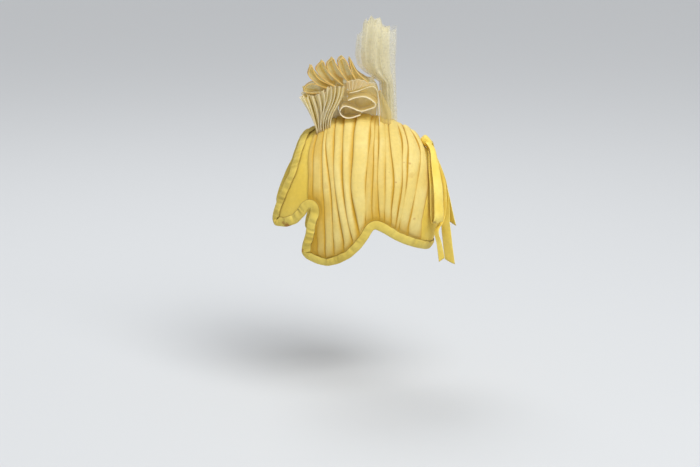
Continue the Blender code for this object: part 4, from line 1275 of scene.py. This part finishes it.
def make_panel(material, edge_material, seat):
    """The small upright panel beside the foot of the plume."""
    rows, columns = PANEL_GRID
    table = np.array(PANEL) * REACH
    grid = []
    for level in np.linspace(0.0, 1.0, rows):
        z = table[0, 0] + (table[-1, 0] - table[0, 0]) * level
        front, back = read_table(table[:, 1:], table[:, 0], z)[0]
        share = np.linspace(0.0, 1.0, columns)
        y = front + (back - front) * share
        x = PANEL_SIDE + PANEL_HOLLOW * np.sin(math.pi * share)
        x = x + PANEL_WAVE * np.sin(share * 9.0 + level * 4.0)
        floor = seat.heights(x, y, SEAT_GAP)
        grid.append(np.column_stack((x, y, floor + (table[-1, 0] - floor) * level)))
    grid = np.array(grid)
    film = make_film("ruffle_panel_cloth", grid, material)
    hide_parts("ruffle_panel")
    make_edge_line("ruffle_panel_edges", (grid[-1], grid[:, 0]), PANEL_ROLL, edge_material)


def make_plume(material, seat):
    """The upright bunch of net: sheets folded round each other, narrow at the foot and ragged at the top."""
    sheets = []
    places = []
    shade_and_density = []
    rows, columns = PLUME_GRID
    table = np.array(PLUME) * REACH
    turns = full_turn(columns)
    for depth, half_width, drop, sheer_and_shade, seed in PLUME_SHEETS:
        seam = smooth_step(0.0, 0.5, np.pi - np.abs(turns - np.pi))
        folds = waver(turns * 3.6, 1.0, seed) * seam
        fine = waver(turns * 11.0, 1.0, seed + 40) * seam
        share = 0.5 - 0.5 * depth * np.cos(turns)
        tops = np.interp(share, *np.array(PLUME_TOP).T) * REACH - drop
        tops = tops + PLUME_RAGGED * waver(turns * 3.0, 1.0, seed + 10) * seam - PLUME_LOWER
        tops = tops + PLUME_FRAYED * waver(turns * 9.0, 1.0, seed + 20)
        foot = np.interp(PLUME_FOOT, table[:, 0], table[:, 1]) * (1.0 - share) + table[0, 2] * share
        floor = seat.heights(PLUME_FOOT_WIDTH * np.sin(turns), foot, 2.0 * SEAT_GAP)
        layer = []
        for level in np.linspace(0.0, 1.0, rows):
            z = floor + (tops - floor) * level
            front, back = read_table(table[:, 1:], table[:, 0], z).T
            width = PLUME_FOOT_WIDTH + (half_width - PLUME_FOOT_WIDTH) * smooth_step(0.0, 0.7, level)
            pleat = (0.09 + 0.05 * level) * folds + 0.030 * fine
            y = (front + back) / 2 - (back - front) / 2 * depth * np.cos(turns) * (1.0 - np.abs(pleat) * 0.5)
            x = width * np.sin(turns) * (1.0 + pleat * 1.6)
            drift = PLUME_DRIFT * waver(turns * 1.5 + level * 1.4, 1.0, seed + 30) * level
            layer.append(np.column_stack((x + drift, y + drift * 0.7, z)))
        sheets.append(np.array(layer))
        # Painted shade: the less sheer inner sheets also get more of the deep colour
        shade_and_density.append(np.full(rows * columns, sheer_and_shade))
        up = np.linspace(0.0, PLUME_CUT_HEIGHT, rows)[:, None]
        places.append(np.stack(np.broadcast_arrays(turns[None, :] * PLUME_CUT_TURN * depth, up), axis=-1))
    shade_and_density = np.concatenate(shade_and_density)
    piece = make_joined("plume_net", sheets, places, material, shade_and_density, around=True)
    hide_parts("plume")


# Bow


def make_ribbon(name, node, table, mirror, slant, curl, seed, material):
    """A satin ribbon from a table of its two edges and their height, kept clear of the crown."""
    count = RIBBON_STEPS * (len(table) - 1) + 1
    points = spline(np.arange(len(table)), np.array(table) * REACH, np.linspace(0, len(table) - 1, count))
    shares = np.linspace(0.0, 1.0, RIBBON_COLUMNS)
    grid = []
    for index, (front_side, front, back_side, back, height) in enumerate(points):
        near_end = smooth_step(0.75, 1.0, index / (count - 1))
        drop = slant * near_end
        x = front_side + (back_side - front_side) * shares
        y = front + (back - front) * shares
        grid.append(np.column_stack((mirror * x, y, height - drop * shares)))
    grid = np.array(grid)
    bend = curl * (1.0 - (2.0 * shares - 1.0) ** 2)
    along, across = np.broadcast_arrays(np.arange(count)[:, None] / RIBBON_STEPS, 1.6 * shares)
    swell = RIBBON_SWELL * ripple(along, across, seed)
    grid = grid + grid_normals(grid) * (bend + swell)[..., None]
    grid = lift_clear(grid, RIBBON_OFFSET)
    piece = make_wall(name, grid, RIBBON_WALL, material)
    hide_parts(node)


def make_knot(material):
    """The rounded knot of the bow, its ribbon drawn into creases."""
    out, up = axes(KNOT_LEAN)
    middle = CENTRE + out * (FORM_LONG + KNOT_OFFSET)
    rows, columns = KNOT_GRID
    rings = np.sin(np.linspace(-math.pi / 2, math.pi / 2, rows))
    turns = full_turn(columns)
    grid = []
    for ring in rings:
        size = max(1e-12, 1.0 - abs(ring) ** 5) ** 0.2
        crease = 1.0 - 0.07 * np.abs(np.sin(ring * 5.0 + 0.8 * np.sin(turns * 2.0))) * size
        round_out = np.sign(np.cos(turns)) * np.abs(np.cos(turns)) ** 0.55 * KNOT_THICKNESS / 2 * crease
        round_up = np.sign(np.sin(turns)) * np.abs(np.sin(turns)) ** 0.55 * KNOT_LENGTH / 2 * crease
        across = SIDE_AXIS * KNOT_HALF_WIDTH * ring
        grid.append(middle + across + (np.outer(round_out, out) + np.outer(round_up, up)) * size)
    grid = np.array(grid)
    piece = make_film("knot", grid, material, around=True)
    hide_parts("bow_knot")


# The stage


def make_light(name, place, size, power, colour):
    """A soft square light facing the hat."""
    data = bpy.data.lights.new(name, "AREA")
    data.size = size
    data.energy = power
    data.color = colour
    light = place_thing(name, data)
    light.location = place
    light.rotation_euler = (Vector(LIT_POINT) - light.location).to_track_quat("-Z", "Y").to_euler()


def make_camera():
    """The camera at the photograph's angle."""
    data = bpy.data.cameras.new("camera")
    data.lens = CAMERA_LENS
    data.sensor_width = SENSOR_WIDTH
    camera = place_thing("camera", data)
    camera.location = CAMERA_PLACE
    camera.rotation_euler = (math.radians(90.0 - CAMERA_PITCH), 0.0, math.radians(90.0))
    bpy.context.scene.camera = camera


def make_sun():
    """A broad sun and an even surround."""
    sun = bpy.data.lights.new("soft_sun", "SUN")
    sun.angle = math.radians(SUN_SPREAD)
    sun.energy = SUN_POWER
    place_thing("soft_sun", sun).rotation_euler = [math.radians(turn) for turn in SUN_TURN]
    world = bpy.data.worlds.new("surround")
    world.use_nodes = True
    surround = world.node_tree.nodes["Background"].inputs
    surround["Color"].default_value = SURROUND_COLOUR
    surround["Strength"].default_value = SURROUND_POWER
    bpy.context.scene.world = world


def make_floor():
    """The plain pale floor."""
    mesh = bpy.data.meshes.new("floor")
    corners = [(FLOOR_REACH * x, FLOOR_REACH * y, 0.0) for x, y in ((-1, -1), (1, -1), (1, 1), (-1, 1))]
    mesh.from_pydata(corners, [], [(0, 1, 2, 3)])
    floor = place_thing("floor", mesh)
    floor.location = (0.0, 0.0, FLOOR_HEIGHT)
    nodes = Nodes("pale_floor")
    inputs = {"Base Color": FLOOR_COLOUR, "Roughness": FLOOR_ROUGHNESS}
    paint = nodes.add("ShaderNodeBsdfPrincipled", inputs).outputs[0]
    nodes.add("ShaderNodeOutputMaterial", {"Surface": paint})
    mesh.materials.append(nodes.material)


def make_stage():
    """Camera, lights, floor and the way the picture is made."""
    make_camera()
    for light in LIGHTS:
        make_light(*light)
    make_sun()
    make_floor()
    bpy.context.scene.view_settings.view_transform = "Standard"
    bpy.context.scene.cycles.transparent_max_bounces = SHEER_LAYERS


def build():
    """Every piece of the hat with its cloth."""
    cloth = {name: make_cloth(name) for name in CLOTHS}
    pale = cloth["pale_edge"]
    gold = cloth["ruffle_edge"]
    seat = Surface((
        make_cap(cloth["cap_cloth"]), make_cover(cloth["cover_cloth"]), make_binding(cloth["binding_cloth"])
    ))
    folds = [
        make_fan(cloth["ruffle_cloth"], gold),
        make_fan_folds(cloth["ruffle_leaves"]),
        *make_side_folds(cloth["ruffle_pleats"], pale),
        make_scroll(cloth["ruffle_band"], pale, seat),
        make_back_folds(cloth["ruffle_cloth"], pale, seat),
        make_front_pleats(cloth["ruffle_net"], pale, seat),
    ]
    make_core(cloth["ruffle_band"], seat, folds)
    make_panel(cloth["ruffle_cloth"], gold, seat)
    make_plume(cloth["plume_net"], seat)
    make_knot(cloth["ribbon_satin"])
    for ribbon in RIBBONS:
        make_ribbon(*ribbon, cloth["ribbon_satin"])


make_stage()
build()
bpy.context.view_layer.update()
